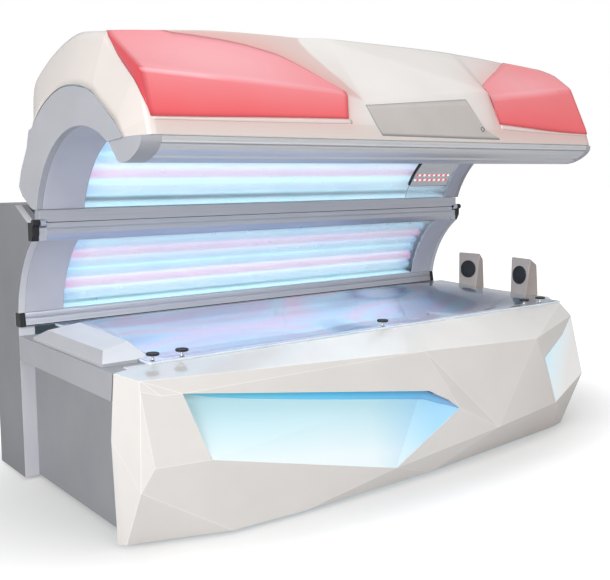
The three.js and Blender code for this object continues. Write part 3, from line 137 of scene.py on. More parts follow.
# an outline in Y and Z carried along X: its points at x0 and again at x1, quads between, a face on each end
def alongX(outline, x0, x1):
    n = len(outline)
    points = np.vstack([np.column_stack([np.full(n, x), outline]) for x in (x0, x1)])
    i = np.arange(n)
    sides = np.column_stack([i, (i + 1) % n, (i + 1) % n + n, i + n])
    return points, sides.tolist() + [i[::-1].tolist(), (i + n).tolist()]


# a strip between two lines of equally many points in Y and Z, carried from x0 to x1: quads on all its sides
def slab(inner, outer, x0, x1):
    n = len(inner)
    turns = ((inner, x0), (outer, x0), (outer, x1), (inner, x1))
    lines = [np.column_stack([np.full(n, x), line]) for line, x in turns]
    ends = [[0, n, 2 * n, 3 * n], [4 * n - 1, 3 * n - 1, 2 * n - 1, n - 1]]
    return np.vstack(lines), gridQuads(4, n, wrapRows=True).tolist() + ends


# a line drawn again with equally spaced points, by its length so far
def spaced(line, count):
    run = np.concatenate([[0], np.cumsum(np.linalg.norm(np.diff(line, axis=0), axis=1))])
    at = np.linspace(0, run[-1], count)
    return np.column_stack([np.interp(at, run, line[:, k]) for k in range(line.shape[1])])


# unit vectors square to a line in Y and Z, on its left: its way turned by a quarter
def leftOf(line):
    way = np.gradient(line, axis=0)
    return np.column_stack([-way[:, 1], way[:, 0]]) / np.linalg.norm(way, axis=1)[:, None]


# a profile of (radius, height) turned round Z, its ends closed by one face each, then set on axis at place
def turned(profile, sides, place=(0, 0, 0), axis=(0, 0, 1)):
    (r, h), (c, s) = np.array(profile, float).T, circle(sides).T
    points = np.stack([np.outer(c, r), np.outer(s, r), np.tile(h, (sides, 1))], -1)
    turn = np.array(Vector((0, 0, 1)).rotation_difference(Vector(axis)).to_matrix())
    ring = np.arange(sides) * len(r)
    faces = gridQuads(sides, len(r), wrapRows=True).tolist()
    faces += [ring[::-1].tolist(), (ring + len(r) - 1).tolist()]
    return points.reshape(-1, 3) @ turn.T + np.array(place, float), faces


# the arc from start to end that bulges right of the way by sagitta: centre, radius, first and last angle
def arcThrough(start, end, sagitta):
    start, end = np.array(start, float), np.array(end, float)
    way = end - start
    chord = np.hypot(*way)
    radius = (chord ** 2 / 4 + sagitta ** 2) / (2 * sagitta)
    centre = (start + end) / 2 + np.array([-way[1], way[0]]) / chord * (radius - sagitta)
    first, last = (math.atan2(*(point - centre)[::-1]) for point in (start, end))
    return {"centre": centre, "radius": radius, "first": first, "last": last + (2 * math.pi if last < first else 0)}


# points of an arc at a standoff outside its radius, trimmed at both ends by a length along it
def onArc(arc, standoff, trim=0.0, count=49):
    angle = np.linspace(arc["first"] + trim / arc["radius"], arc["last"] - trim / arc["radius"], count)
    return arc["centre"] + (arc["radius"] + standoff) * np.column_stack([np.cos(angle), np.sin(angle)])


# a curved sheet between two standoffs of an arc
def curvedSheet(arc, inside, outside, x0, x1, trim=0.0, count=49):
    return slab(onArc(arc, inside, trim, count), onArc(arc, outside, trim, count), *sorted((x0, x1)))


# a closed outline with each corner cut to a parabola between points a set length before and after it
def eased(outline, radius, steps):
    p = np.asarray(outline, float)
    back, ahead = np.roll(p, 1, 0) - p, np.roll(p, -1, 0) - p
    before, after = (np.linalg.norm(v, axis=1, keepdims=True) for v in (back, ahead))
    a = (p + back / before * np.minimum(radius, before * 0.48))[:, None]
    c = (p + ahead / after * np.minimum(radius, after * 0.48))[:, None]
    t = np.linspace(0, 1, steps)[None, :, None]
    return ((1 - t) ** 2 * a + 2 * t * (1 - t) * p[:, None] + t ** 2 * c).reshape(-1, p.shape[1])


# the Catmull-Rom cubic from b to c, whose slopes come from the points before and after them
def cubic(a, b, c, d, t):
    return 0.5 * (2 * b + (c - a) * t + (2 * a - 5 * b + 4 * c - d) * t ** 2 + (3 * b - a - 3 * c + d) * t ** 3)


# a smooth line through control points: that cubic of the four points round each place
def spline(points, places):
    p = np.asarray(points, float)
    i = np.clip(np.floor(places).astype(int), 0, len(p) - 2)
    a, b, c, d = (p[np.clip(i + k, 0, len(p) - 1)] for k in (-1, 0, 1, 2))
    return cubic(a, b, c, d, (np.asarray(places) - i)[:, None])


# a new piece: mesh, materials, attributes and map, then settled with its other options
def piece(name, shape, materials, body, slot, hides=(), faceMaterials=None, attributes=None, uv=None, **options):
    points, faces = shape
    mesh = bpy.data.meshes.new(name)
    mesh.from_pydata((np.asarray(points) * mm).tolist(), [], [np.asarray(face).tolist() for face in faces])
    for material in materials if isinstance(materials, list) else [materials]:
        mesh.materials.append(material)
    if faceMaterials is not None:
        mesh.polygons.foreach_set("material_index", np.asarray(faceMaterials, np.int32))
    for key, values in (attributes or {}).items():
        layer = mesh.attributes.new(key, "FLOAT", "POINT")
        layer.data.foreach_set("value", np.asarray(values, np.float32).ravel())
    if uv is not None:
        loops = np.zeros(len(mesh.loops), np.int32)
        mesh.loops.foreach_get("vertex_index", loops)
        mesh.uv_layers.new(name="faceMap").data.foreach_set("uv", np.asarray(uv)[loops].astype(np.float32).ravel())
    mesh.validate()
    return settle(name, mesh, body, slot, hides, **options)


# a mesh as an object: shading, wall, rounded edges, its body and the solids it stands for; slot is not used. A closed
# shape has its normals recalculated; a sheet, which gets a wall, keeps them
def settle(name, mesh, body, slot, hides, wall=0.0, rim=0, bevel=0.0, steps=3, edge=30, sharp=38, closed=True,
           edgeMaterial=-1):
    if closed and not wall:
        work = bmesh.new()
        work.from_mesh(mesh)
        bmesh.ops.remove_doubles(work, verts=work.verts, dist=1e-6)
        bmesh.ops.recalc_face_normals(work, faces=work.faces)
        work.to_mesh(mesh)
        work.free()
    mesh.shade_smooth()
    mesh.set_sharp_from_angle(angle=math.radians(sharp))
    obj = bpy.data.objects.new(name, mesh)
    bpy.context.collection.objects.link(obj)
    if wall:
        solid = obj.modifiers.new("wall", "SOLIDIFY")
        solid.thickness, solid.offset, solid.material_offset_rim = wall * mm, -1, rim
    if bevel:
        soft = obj.modifiers.new("edges", "BEVEL")
        soft.width, soft.segments, soft.limit_method = bevel * mm, steps, "ANGLE"
        soft.angle_limit, soft.material = math.radians(edge), edgeMaterial
        obj.modifiers.new("shading", "WEIGHTED_NORMAL").weight = 90  # large fields stay flat, roundings take the turn
    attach(obj, body)
    if hides:
        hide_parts(*hides)
    return obj


# a solid's own triangles, merged, level fields joined and edges rounded; fields for which the rule other holds, by
# their centres and normals, have a second finish
def softened(node, material, body, slot, bevel, steps=3, edge=14, sharp=30, level=0.6, second=None, other=None):
    mesh = bpy.data.meshes.new(node + "_shell")
    work = bmesh.new()
    work.from_mesh(nodes[node].data)
    bmesh.ops.remove_doubles(work, verts=work.verts, dist=1e-6)
    bmesh.ops.dissolve_limit(work, angle_limit=math.radians(level), verts=work.verts, edges=work.edges)
    work.to_mesh(mesh)
    work.free()
    mesh.materials.clear()
    mesh.materials.append(material)
    kinds = np.zeros(len(mesh.polygons), np.int32)
    if other:
        mesh.materials.append(second)
        centres, normals = np.zeros((2, len(kinds), 3), np.float32)
        mesh.polygons.foreach_get("center", centres.ravel())
        mesh.polygons.foreach_get("normal", normals.ravel())
        kinds[other(centres, normals)] = 1
    mesh.polygons.foreach_set("material_index", kinds)
    return settle(node + "_shell", mesh, body, slot, (node,), bevel=bevel, steps=steps, edge=edge, sharp=sharp)


# a solid kept as it is, with a better finish
def dress(material, *names):
    for name in names:
        for slot in nodes[name].material_slots:
            slot.material = material


# Moulded plastic: a tone that drifts over a hand's width, and a fine grain in bump and roughness. drift and grain are
# in mm; the real grain of 0.5 mm is drawn coarser to show. The last list holds attributes of painted light and
# painted shade, each with the tone its share mixes in.
def mouldedPlastic(name, colour, shade, roughness, drift, grain, bump, paintedLightAndShade=(), **sockets):
    material, tree, shader = blank(name, IOR=1.53, Coat_Roughness=0.08, **sockets)
    place = put(tree, "TexCoord")
    base = tones(tree, place, drift, 3.0, (0.3, shade), (0.7, colour))[1]
    for attribute, paintedTone in paintedLightAndShade:
        share = put(tree, "Attribute", attribute_name=attribute)
        mixed = put(tree, "Mix", data_type="RGBA", _0=(share, "Fac"), _6=base, _7=tone(paintedTone))
        base = (mixed, "Result")
    fine = put(tree, "TexNoise", Vector=(place, "Object"), Scale=1 / (grain * mm), Detail=2.0)
    rough = put(tree, "MapRange", Value=fine, To_Min=roughness - 0.05, To_Max=roughness + 0.06)
    relief = put(tree, "Bump", Height=fine, Strength=bump, Distance=0.0004)
    fill(shader, Base_Color=base, Roughness=rough, Normal=relief)
    return material


# Extruded, anodised aluminium: fine die lines along X in tone, roughness and bump. They are about 0.3 mm apart and
# are drawn at 2.5 mm to show.
def extruded(name, colour, shade, roughness, pitch=2.5):
    material, tree, shader = blank(name, Metallic=0.85)
    place = put(tree, "TexCoord")
    lines, ramp = tones(tree, place, pitch, 2.0, (0.3, shade), (0.7, colour), stretch=0.01)
    rough = put(tree, "MapRange", Value=lines, To_Min=roughness - 0.06, To_Max=roughness + 0.08)
    relief = put(tree, "Bump", Height=lines, Strength=0.06, Distance=0.0003)
    fill(shader, Base_Color=ramp, Roughness=rough, Normal=relief)
    return material


# Tinted translucent acrylic over lamps: deep red far from a lamp, pink where one stands close behind it. inside runs
# from 0 at the border to 1 within; glowShare is the light behind it, with a painted highlight along the crease and
# painted shade on the turned-in end.
def redAcrylic():
    material, tree, shader = blank("tinted_red_acrylic", IOR=1.49, Roughness=0.16, Coat_Weight=0.5,
                                   Coat_Roughness=0.06, Emission_Strength=0.23)
    place = put(tree, "TexCoord")
    behind = put(tree, "Attribute", attribute_name="glowShare")
    within = put(tree, "Attribute", attribute_name="inside")
    cloud = put(tree, "TexNoise", Vector=(place, "Object"), Scale=1 / (220 * mm), Detail=2.0)
    light = put(tree, "Math", operation="MULTIPLY_ADD", _0=cloud, _1=0.12, _2=(behind, "Fac"))
    ramp = put(tree, "ValToRGB", Fac=light)
    stops(ramp, (0.06, "#CC434A"), (0.24, "#E0595E"), (0.5, "#E47A7F"), (0.72, "#E68F96"), (1.0, "#E9A4AB"))
    edge = put(tree, "Mix", data_type="RGBA", _0=(within, "Fac"), _6=tone("#C5424B"),
               _7=ramp)
    fill(shader, Base_Color=(edge, "Result"), Emission_Color=(edge, "Result"))
    return material


# Cast acrylic sheet: polished, with faint wipe marks. Drape-forming leaves slow waves, which bend the reflections.
# Reflections of the lit lamps are painted on as a glow in swirls of cyan, lilac and pink, drawn by colour stops along
# the height of the waves;
# they fade towards the head end, where the pane rises off the lamps.
def castAcrylic(name, colour, smoothest, roughest, wave, waveHeight, paintedReflection, polish=0.0):
    material, tree, shader = blank(name, IOR=1.49, Transmission_Weight=1.0, Base_Color=tone(colour),
                                   Coat_Weight=polish, Coat_IOR=1.49, Coat_Roughness=0.015)
    place = put(tree, "TexCoord")
    lie = put(tree, "Mapping", Vector=(place, "Object"), Scale=(0.55, 1.0, 1.0))
    wipe = put(tree, "TexNoise", Vector=lie, Scale=1 / (30 * mm), Detail=3.0)
    rough = put(tree, "MapRange", Value=wipe, To_Min=smoothest, To_Max=roughest)
    slow = put(tree, "TexNoise", Vector=lie, Scale=1 / (wave * mm), Detail=1.0, Distortion=0.9)
    relief = put(tree, "Bump", Height=slow, Strength=0.8, Distance=waveHeight * mm)
    ramp = put(tree, "ValToRGB", Fac=slow)
    stops(ramp, (0.28, "#6F7A9C"), (0.36, "#B9D6EC"), (0.41, "#D6C4DC"), (0.45, "#C6E6F4"), (0.49, "#EFCBDA"),
          (0.52, "#BBDFF0"), (0.555, "#7E86A8"), (0.58, "#B4C6E2"), (0.63, "#D5EAF4"), (0.70, "#8390B4"))
    # strength of the painted reflections, falling along X towards the head end
    axes = put(tree, "SeparateXYZ", Vector=(place, "Object"))
    lit = put(tree, "MapRange", Value=(axes, "X"), From_Min=0.50, From_Max=0.85, To_Min=paintedReflection,
              To_Max=paintedReflection * 0.2)
    fill(shader, Emission_Strength=lit, Emission_Color=ramp, Roughness=rough,
         Normal=relief, Coat_Normal=relief)
    return material


# Sawn and flame-polished edge of the acrylic: it pipes the lamps' light, so it shows as a pale line
def litEdge():
    material, tree, shader = blank("polished_acrylic_edge", IOR=1.49, Roughness=0.12, Emission_Strength=0.2)
    place = put(tree, "TexCoord")
    ramp = tones(tree, place, 140, 2.0, (0.3, "#C9D9E3"), (0.7, "#E4EDF2"))[1]
    fill(shader, Base_Color=ramp, Emission_Color=ramp)
    return material


# Phosphor-coated lamp tube, lit: even soft light, darker at its ends, where glow falls off. tint is 0 for the blue
# lamps and 1 for the pink ones.
def lampTube():
    material, tree, shader = blank("phosphor_lamp_tube", IOR=1.5, Roughness=0.35, Emission_Strength=0.39)
    tint = put(tree, "Attribute", attribute_name="tint")
    glow = put(tree, "Attribute", attribute_name="glow")
    middle = put(tree, "ValToRGB", Fac=(tint, "Fac"))
    stops(middle, (0.0, "#D6ECF3"), (1.0, "#FBDCE8"))
    ends = put(tree, "ValToRGB", Fac=(tint, "Fac"))
    stops(ends, (0.0, "#B4D9F4"), (1.0, "#F4BFDC"))
    mix = put(tree, "Mix", data_type="RGBA", _0=(glow, "Fac"), _6=ends, _7=middle)
    fill(shader, Base_Color=(mix, "Result"), Emission_Color=(mix, "Result"))
    return material


# White-enamelled reflector close behind lit lamps: an even pale cyan with faint roll lines along X, which are under
# 1 mm apart and drawn at 4 mm to show. The lamps' light on it is painted in as a glow.
def reflectorSheet():
    material, tree, shader = blank("white_enamelled_reflector_painted_glow", IOR=1.5, Emission_Strength=0.50)
    place = put(tree, "TexCoord")
    lines, ramp = tones(tree, place, 4, 2.0, (0.3, "#CBE7EE"), (0.7, "#D8EDF3"), stretch=0.02)
    rough = put(tree, "MapRange", Value=lines, To_Min=0.32, To_Max=0.45)
    fill(shader, Base_Color=ramp, Emission_Color=ramp, Roughness=rough)
    return material


# Opal acrylic light panel, lit from its upper edge: cyan there, white below, bluer at its head end. The fall is
# measured down from the slanted edge, which is at height top at atX and drops by slope.
def litOpal(name, strength, colours, top, atX, slope, reach, blueFrom, blueTo):
    material, tree, shader = blank(name, IOR=1.49, Roughness=0.22, Coat_Weight=0.3, Coat_Roughness=0.08,
                                   Emission_Strength=strength)
    place = put(tree, "TexCoord")
    axes = put(tree, "SeparateXYZ", Vector=(place, "Object"))
    line = put(tree, "Math", operation="MULTIPLY_ADD", _0=(axes, "X"), _1=-slope, _2=top + atX * slope)
    fall = put(tree, "Math", operation="SUBTRACT", _0=line, _1=(axes, "Z"))
    share = put(tree, "MapRange", Value=fall, From_Max=reach)
    cloud = put(tree, "TexNoise", Vector=(place, "Object"), Scale=1 / (300 * mm), Detail=1.0)
    soft = put(tree, "Math", operation="MULTIPLY_ADD", _0=cloud, _1=0.16, _2=share)
    ramp = put(tree, "ValToRGB", Fac=soft)
    stops(ramp, *zip((0.05, 0.35, 0.75, 1.0), colours))
    head = put(tree, "MapRange", Value=(axes, "X"), From_Min=blueFrom, From_Max=blueTo, To_Max=0.8)
    blue = put(tree, "Mix", data_type="RGBA", _0=head, _6=ramp,
               _7=tone("#94CBEC"))
    fill(shader, Base_Color=(blue, "Result"), Emission_Color=(blue, "Result"))
    return material


# Frosted lens over the blue light line: cyan at the foot end, deeper blue towards the head end
def blueLens():
    material, tree, shader = blank("frosted_blue_lens", IOR=1.49, Roughness=0.25, Emission_Strength=0.36)
    place = put(tree, "TexCoord")
    axes = put(tree, "SeparateXYZ", Vector=(place, "Object"))
    run = put(tree, "MapRange", Value=(axes, "X"), From_Min=-1.0, From_Max=0.18)
    ramp = put(tree, "ValToRGB", Fac=run)
    stops(ramp, (0.0, "#72C6DD"), (0.45, "#61C0E8"), (0.8, "#66B2DD"), (1.0, "#7A9CC4"))
    fill(shader, Base_Color=ramp, Emission_Color=ramp)
    return material


# Punched steel grille, black coated: a net of dark holes, 2 mm wide on a 3.2 mm pitch, drawn at 5 mm to show
def punchedGrille():
    material, tree, shader = blank("punched_black_steel", Metallic=0.3, IOR=1.5)
    place = put(tree, "TexCoord")
    cells = put(tree, "TexVoronoi", feature="F1", Vector=(place, "UV"), Scale=1 / (5 * mm),
                Randomness=0.0)
    hole = put(tree, "ValToRGB", Fac=cells)
    stops(hole, (0.28, "#08090A"), (0.42, "#3B3E44"))
    relief = put(tree, "Bump", Height=cells, Strength=0.5, Distance=0.001)
    rough = put(tree, "MapRange", Value=cells, To_Min=0.7, To_Max=0.4)
    fill(shader, Base_Color=hole, Roughness=rough, Normal=relief)
    return material


# Small moulded lenses of the face light, lit: red and white in turn by the attribute tint
def lensDots():
    material, tree, shader = blank("moulded_lens_dots", IOR=1.5, Roughness=0.2, Emission_Strength=0.8)
    tint = put(tree, "Attribute", attribute_name="tint")
    colour = put(tree, "ValToRGB", Fac=(tint, "Fac"))
    stops(colour, (0.2, "#FBEFF0"), (0.8, "#E8505F"))
    fill(shader, Base_Color=colour, Emission_Color=colour)
    return material


# Thermoformed white shell under a clear coat: a warm satin gloss. The pink that the lit inlays throw on it is painted
# light, and the fields turned from the light are painted in half shade. Its rounded creases take a lighter copy with
# a faint glow: painted highlights that show as fine bright lines.
white = mouldedPlastic("thermoformed_white_abs", "#F3EFEB", "#EEE9E5", 0.30, 240, 3.2, 0.03,
                       [("halfShade", "#DDD0C9"), ("paintedPinkLight", "#EFA29C")], Coat_Weight=0.9)
whiteCreaseHighlight = mouldedPlastic("white_abs_crease_painted_highlight", "#FBF8F5", "#F7F4F1", 0.2, 240, 3.2, 0.02, Coat_Weight=0.8,
                           Emission_Color=tone("#FFFBF6"), Emission_Strength=0.10)
# ABS from a spark-eroded mould: matt, with a grain that breaks up the highlights. Numbers are roughness, drift, grain
# and bump
grained = (0.42, 260, 2.6, 0.10)
grey = mouldedPlastic("grained_grey_abs", "#95979C", "#8D8F94", *grained)
columnGrey = mouldedPlastic("grained_dark_grey_abs", "#85878C", "#7D7F84", *grained)
# a lighter copy of grey for the foot end panel's top band: painted light, with grey on the recessed panel below it as
# painted shade
litBandGrey = mouldedPlastic("grained_grey_abs_painted_lit_band", "#ABADB3", "#A3A5AB", *grained)
plateGrey = mouldedPlastic("grained_light_grey_abs", "#BCBEC5", "#B4B6BD", 0.42, 260, 2.6, 0.08)
# ABS from a polished mould: smoother, with a soft broad sheen
satin = (0.38, 200, 2.6, 0.06)
paleGrey = mouldedPlastic("satin_pale_grey_abs", "#E2E3E9", "#DCDDE4", *satin)
capGrey = mouldedPlastic("satin_cap_abs_side", "#C0C1C7", "#BABBC1", *satin)
capWhite = mouldedPlastic("satin_cap_abs", "#F6F7FB", "#F1F2F7", *satin)
lilacGrey = mouldedPlastic("satin_lilac_grey_abs", "#D3D4DF", "#CACBD7", 0.36, 200, 2.6, 0.05)
warmWhite = mouldedPlastic("moulded_warm_white_abs", "#BFB5AF", "#B7ADA7", 0.34, 60, 2.0, 0.05)
bezelGrey = mouldedPlastic("silver_film_on_abs", "#CFC8C5", "#C7C0BD", 0.34, 180, 1.8, 0.03)
# black parts: nylon with a dull sheen, matt rubber, and paint that is smoother than both
blackNylon = mouldedPlastic("moulded_black_nylon", "#191A1D", "#121315", 0.45, 40, 1.6, 0.12)
rubber = mouldedPlastic("moulded_black_rubber", "#1B1B1C", "#141415", 0.7, 40, 1.6, 0.2)
strutBlack = mouldedPlastic("black_painted_steel_tube", "#1E1F22", "#17181A", 0.3, 80, 2.0, 0.05)
# coated sheet: the orange peel of powder, the flow of primer, and the broad spangle of zinc
sheetGrey = mouldedPlastic("powder_coated_grey_sheet", "#A3A6AB", "#9C9FA4", 0.52, 300, 2.0, 0.14)
frameSteel = mouldedPlastic("zinc_primed_steel", "#8B9096", "#7F858B", 0.5, 120, 6.0, 0.1)
ballastCase = mouldedPlastic("galvanised_sheet_case", "#A4AAB0", "#8F969D", 0.42, 60, 14.0, 0.06)
aluminium = extruded("anodised_aluminium_extrusion", "#D5D7E0", "#C9CBD5", 0.40)
brightRail = extruded("clear_anodised_grip_rail", "#DCDDE1", "#CFD0D5", 0.34)
# a lighter copy of the grip rail's finish for its upper band: a painted highlight
railHighlightBand = extruded("grip_rail_band_painted_highlight", "#F6F7FA", "#ECEDF1", 0.28)
rodSteel = extruded("ground_chromed_rod", "#D5D7DA", "#C6C8CC", 0.16, 1.0)
red = redAcrylic()
acrylic = castAcrylic("clear_cast_acrylic", "#8B9CB6", 0.20, 0.28, wave=680, waveHeight=22, paintedReflection=0.31, polish=1.0)
satinAcrylic = castAcrylic("satin_cast_acrylic", "#F3F8FD", 0.24, 0.34, wave=260, waveHeight=2, paintedReflection=0.03)
acrylicEdge = litEdge()
tube = lampTube()
glowingReflector = reflectorSheet()
opal = litOpal("opal_acrylic_light_panel", 0.30, ("#B1D7E0", "#BBDEE7", "#D2E8EE", "#E3EEF1"),
               top=0.346, atX=0.020, slope=0.148, reach=0.24, blueFrom=-0.26, blueTo=0.06)
opalCorner = litOpal("opal_acrylic_corner_panel", 0.47, ("#C4E2F0", "#CFE4EC", "#D8DEDF", "#DAD8D7"),
                     top=0.40, atX=0.80, slope=-1.6, reach=0.50, blueFrom=2.0, blueTo=2.4)
blue = blueLens()
grilleSteel = punchedGrille()
dots = lensDots()
print("finishes made:", len(bpy.data.materials))

# Canopy hood: rows of a section from the lip over the top to the rear return, as offsets from the hinge. facet and
# brow are the two creases of the front and move along X; crest is the slanting crease from one to the other, by its
# share of the way at the two middle stations.
hood = {
    "footX": -1172, "headX": 1005, "bevel": 45, "bevelPower": 1.15, "crown": 38.3, "browLift": 1.2, "wall": 5,
    "lip": [(-769, 286), (-752, 335)],
    "top": [(-372, 613), (-272, 615), (-143, 589), (-12, 542), (82, 483), (97, 373), (34, 321)],
    "rise": [1, 1, 1, 0.9, 0.7, 0.1, 0],
    "rim": [(-672, 280.5), (-658, 295), (-622, 327), (-476, 420), (-472, 423), (-387, 446), (-292, 454),
            (-202, 444), (-115, 416), (-52, 385), (-7, 355), (28, 318)],
    "stationX": [-1127, -752, -400, -276, 356, 404, 705, 960],
    "facet": [(-701, 473), (-701, 458), (-701, 443), (-712, 419), (-712, 483), (-701, 456), (-680, 490), (-657, 527)],
    "brow": [(-491, 598), (-491, 602), (-491, 598), (-495, 606), (-515, 604), (-517, 602), (-505, 604), (-552, 602)],
    "crest": (0.97, 0.03),
}
browRow, lastRow = 4, 11
firstX, lastX = hood["stationX"][0], hood["stationX"][-1]


# rise of the crown along X: a cubic that is flat in the middle and falls to nothing at the end stations
def crownLift(x):
    return hood["crown"] * (1 - np.abs((x - (firstX + lastX) / 2) / ((lastX - firstX) / 2)) ** 3)


# facet and brow at x: straight between their stations, and the brow rises with the crown
def frontCreases(x):
    facet, brow = (np.stack([np.interp(x, hood["stationX"], line) for line in np.array(hood[key], float).T], -1)
                   for key in ("facet", "brow"))
    brow[..., 1] += hood["browLift"] * crownLift(x)
    return facet, brow


# the twelve control rows at each x: lip, facet, crest, brow, and top, which rises with the crown; past the end
# stations the section shrinks to the rim
def hoodRows(x):
    inner = np.clip(x, firstX, lastX)
    facet, brow = frontCreases(inner)
    lift = crownLift(inner)
    foot, head = hood["stationX"][3:5]
    share = np.clip((inner - foot) / (head - foot), 0, 1)[..., None]
    ends = [f + (b - f) * s for (f, b), s in zip(map(frontCreases, (foot, head)), hood["crest"])]
    slant = (1 - share) * ends[0] + share * ends[1]
    level = facet + (brow - facet) * np.where(inner < foot, *hood["crest"])[..., None]
    crest = np.where(((inner > foot) & (inner < head))[..., None], slant, level)
    lips = [np.broadcast_to(np.array(p, float), facet.shape) for p in hood["lip"]]
    tops = [np.array(p, float) + np.stack([0 * lift, lift * s], -1) for p, s in zip(hood["top"], hood["rise"])]
    rows = np.stack([*lips, facet, crest, brow, *tops], -2)
    short = np.clip(np.maximum(firstX - x, x - lastX) / hood["bevel"], 0, 1) ** hood["bevelPower"]
    return rows + (np.array(hood["rim"], float) - rows) * short[..., None, None]


# the point of the hood at x and row number: straight between rows up to the brow, a smooth cubic behind it
def hoodPoint(x, row):
    x, row = np.broadcast_arrays(np.asarray(x, float), np.asarray(row, float))
    rows = hoodRows(x.ravel())
    i = np.clip(np.floor(row.ravel()).astype(int), 0, lastRow - 1)
    t = (row.ravel() - i)[:, None]
    a, b, c, d = (rows[np.arange(len(i)), np.clip(k, 0, lastRow)]
                  for k in (np.maximum(i - 1, browRow), i, i + 1, i + 2))
    yz = np.where((i < browRow)[:, None], b + (c - b) * t, cubic(a, b, c, d, t)) + hinge
    return np.column_stack([x.ravel(), yz]).reshape(*x.shape, 3)


# outward direction of the hood: the cross product of its changes along x and along the rows
def hoodOut(x, row):
    along = hoodPoint(x + 2, row) - hoodPoint(x - 2, row)
    up = hoodPoint(x, row + 0.02) - hoodPoint(x, np.maximum(row - 0.02, 0))
    out = np.cross(along, up)
    return out / np.linalg.norm(out, axis=-1, keepdims=True)


# a border of a patch: straight between its (place, value) pairs
def border(spec, key, at):
    return np.interp(at, *np.array(spec[key]).T)


# a patch of the hood, lifted off it: rows run between its low and high border, columns between its left and right one
# at that row. Rows skip the facet crease and columns meet the end creases, so both stay crisp. rim is 1 within.
def hoodPatch(spec):
    s = np.concatenate([[0, 0, 0], np.linspace(0, 1, spec["across"])[1:-1], [1, 1, 1]])
    low, high = border(spec, "low", s), border(spec, "high", s)
    t = np.linspace(0, 1, spec["up"])[:, None]
    if "crease" in spec:
        under, over = spec["crease"]
        rows = np.vstack([low + (under - low) * t, over + (np.maximum(high, over + 0.02) - over) * t])
    else:
        rows = low + (high - low) * t
    left, right = border(spec, "left", rows), border(spec, "right", rows)
    inLeft, inRight = np.maximum(left + 0.6, firstX), np.minimum(right - 0.6, lastX)
    x = inLeft + (inRight - inLeft) * s
    x[:, 0], x[:, 1] = left[:, 0], (left + inLeft)[:, 1] / 2
    x[:, -1], x[:, -2] = right[:, -1], (right + inRight)[:, -2] / 2
    points = hoodPoint(x, rows) + hoodOut(x, rows) * spec["lift"]
    v = np.linspace(0, 1, len(rows))[:, None]
    rim = np.minimum(np.minimum(s, 1 - s) * 40, 0.45 + np.minimum(v, 1 - v) * 9)
    return points, x, rows, np.clip(rim, 0, 1)


# red inlays: borders as (place, row) and (row, x); x and row of the lamps behind and how far they reach; glow of the
# upper facet, what the lamps add to it and the gain up the lower facet; the sill's reach along X
redFoot = {
    "across": 44, "up": 14, "crease": (1.965, 2.035), "lift": 3.4,
    "low": [(0, 1.02), (0.25, 1.05), (1, 1.18)],
    "high": [(0, 4.35), (0.08, 3.9), (0.16, 3.4), (0.27, 2.97), (0.42, 2.88), (0.6, 2.77), (0.75, 2.62), (0.83, 2.44),
             (0.93, 2.18), (1, 2.06)],
    "left": [(1.0, -1124), (1.5, -1132), (2.0, -1138), (2.5, -1135), (3.0, -1127), (4.4, -1108)],
    "right": [(1.0, -383), (2.0, -350), (4.4, -350)],
    "lamps": (-800, 2.4), "reach": (320, 0.7), "glow": (0.50, 0.40, 0.36), "sill": (-1118, -366),
}
redHead = {
    "across": 40, "up": 14, "crease": (1.965, 3.04), "lift": 3.4,
    "low": [(0, 1.19), (0.45, 1.05), (1, 0.93)],
    "high": [(0, 3.1), (0.06, 3.28), (0.34, 3.65), (0.56, 4.02), (0.62, 4.12), (0.85, 4.12), (1, 3.8)],
    "left": [(1.0, 404), (1.64, 389), (2.0, 368), (4.2, 368)],
    "right": [(0.9, 955), (1.5, 972), (2.0, 984), (3.0, 986), (3.6, 976), (4.2, 962)],
    "lamps": (640, 3.2), "reach": (260, 0.5), "glow": (0.42, 0.24, 0.22), "sill": (404, 950),
}

# columns and rows of the hood stand a few millimetres off its creases, so these are narrow edges
spans = [(-1122, -415, 60), (-405, -278, 28), (-271, 351, 36), (361, 399, 5), (409, 955, 32)]
turnIn = np.linspace(0, hood["bevel"], 9)[:-1]
hoodX = np.concatenate([hood["footX"] + turnIn, *[np.linspace(*span) for span in spans],
                        hood["headX"] - turnIn[::-1]])
hoodR = np.concatenate([[0, 0.06, 0.5, 0.93], [1.04, 1.3, 1.65, 1.96], np.linspace(2.04, 2.96, 24),
                        np.linspace(3.04, 3.94, 6), np.linspace(4.05, 11, 44)])
gridX, gridR = np.meshgrid(hoodX, hoodR, indexing="ij")


# distance of the hood's points from an inlay, in mm: beside its left and right borders, and over or under it
def offInlay(spec):
    overRow, underRow = 190, 70  # mm to a row above and below the inlay
    left, right = border(spec, "left", gridR), border(spec, "right", gridR)
    s = np.clip((gridX - left) / (right - left), 0, 1)
    return np.hypot(np.maximum(np.maximum(left - gridX, gridX - right), 0),
                    np.maximum(gridR - border(spec, "high", s), 0) * overRow
                    + np.maximum(border(spec, "low", s) - gridR, 0) * underRow)


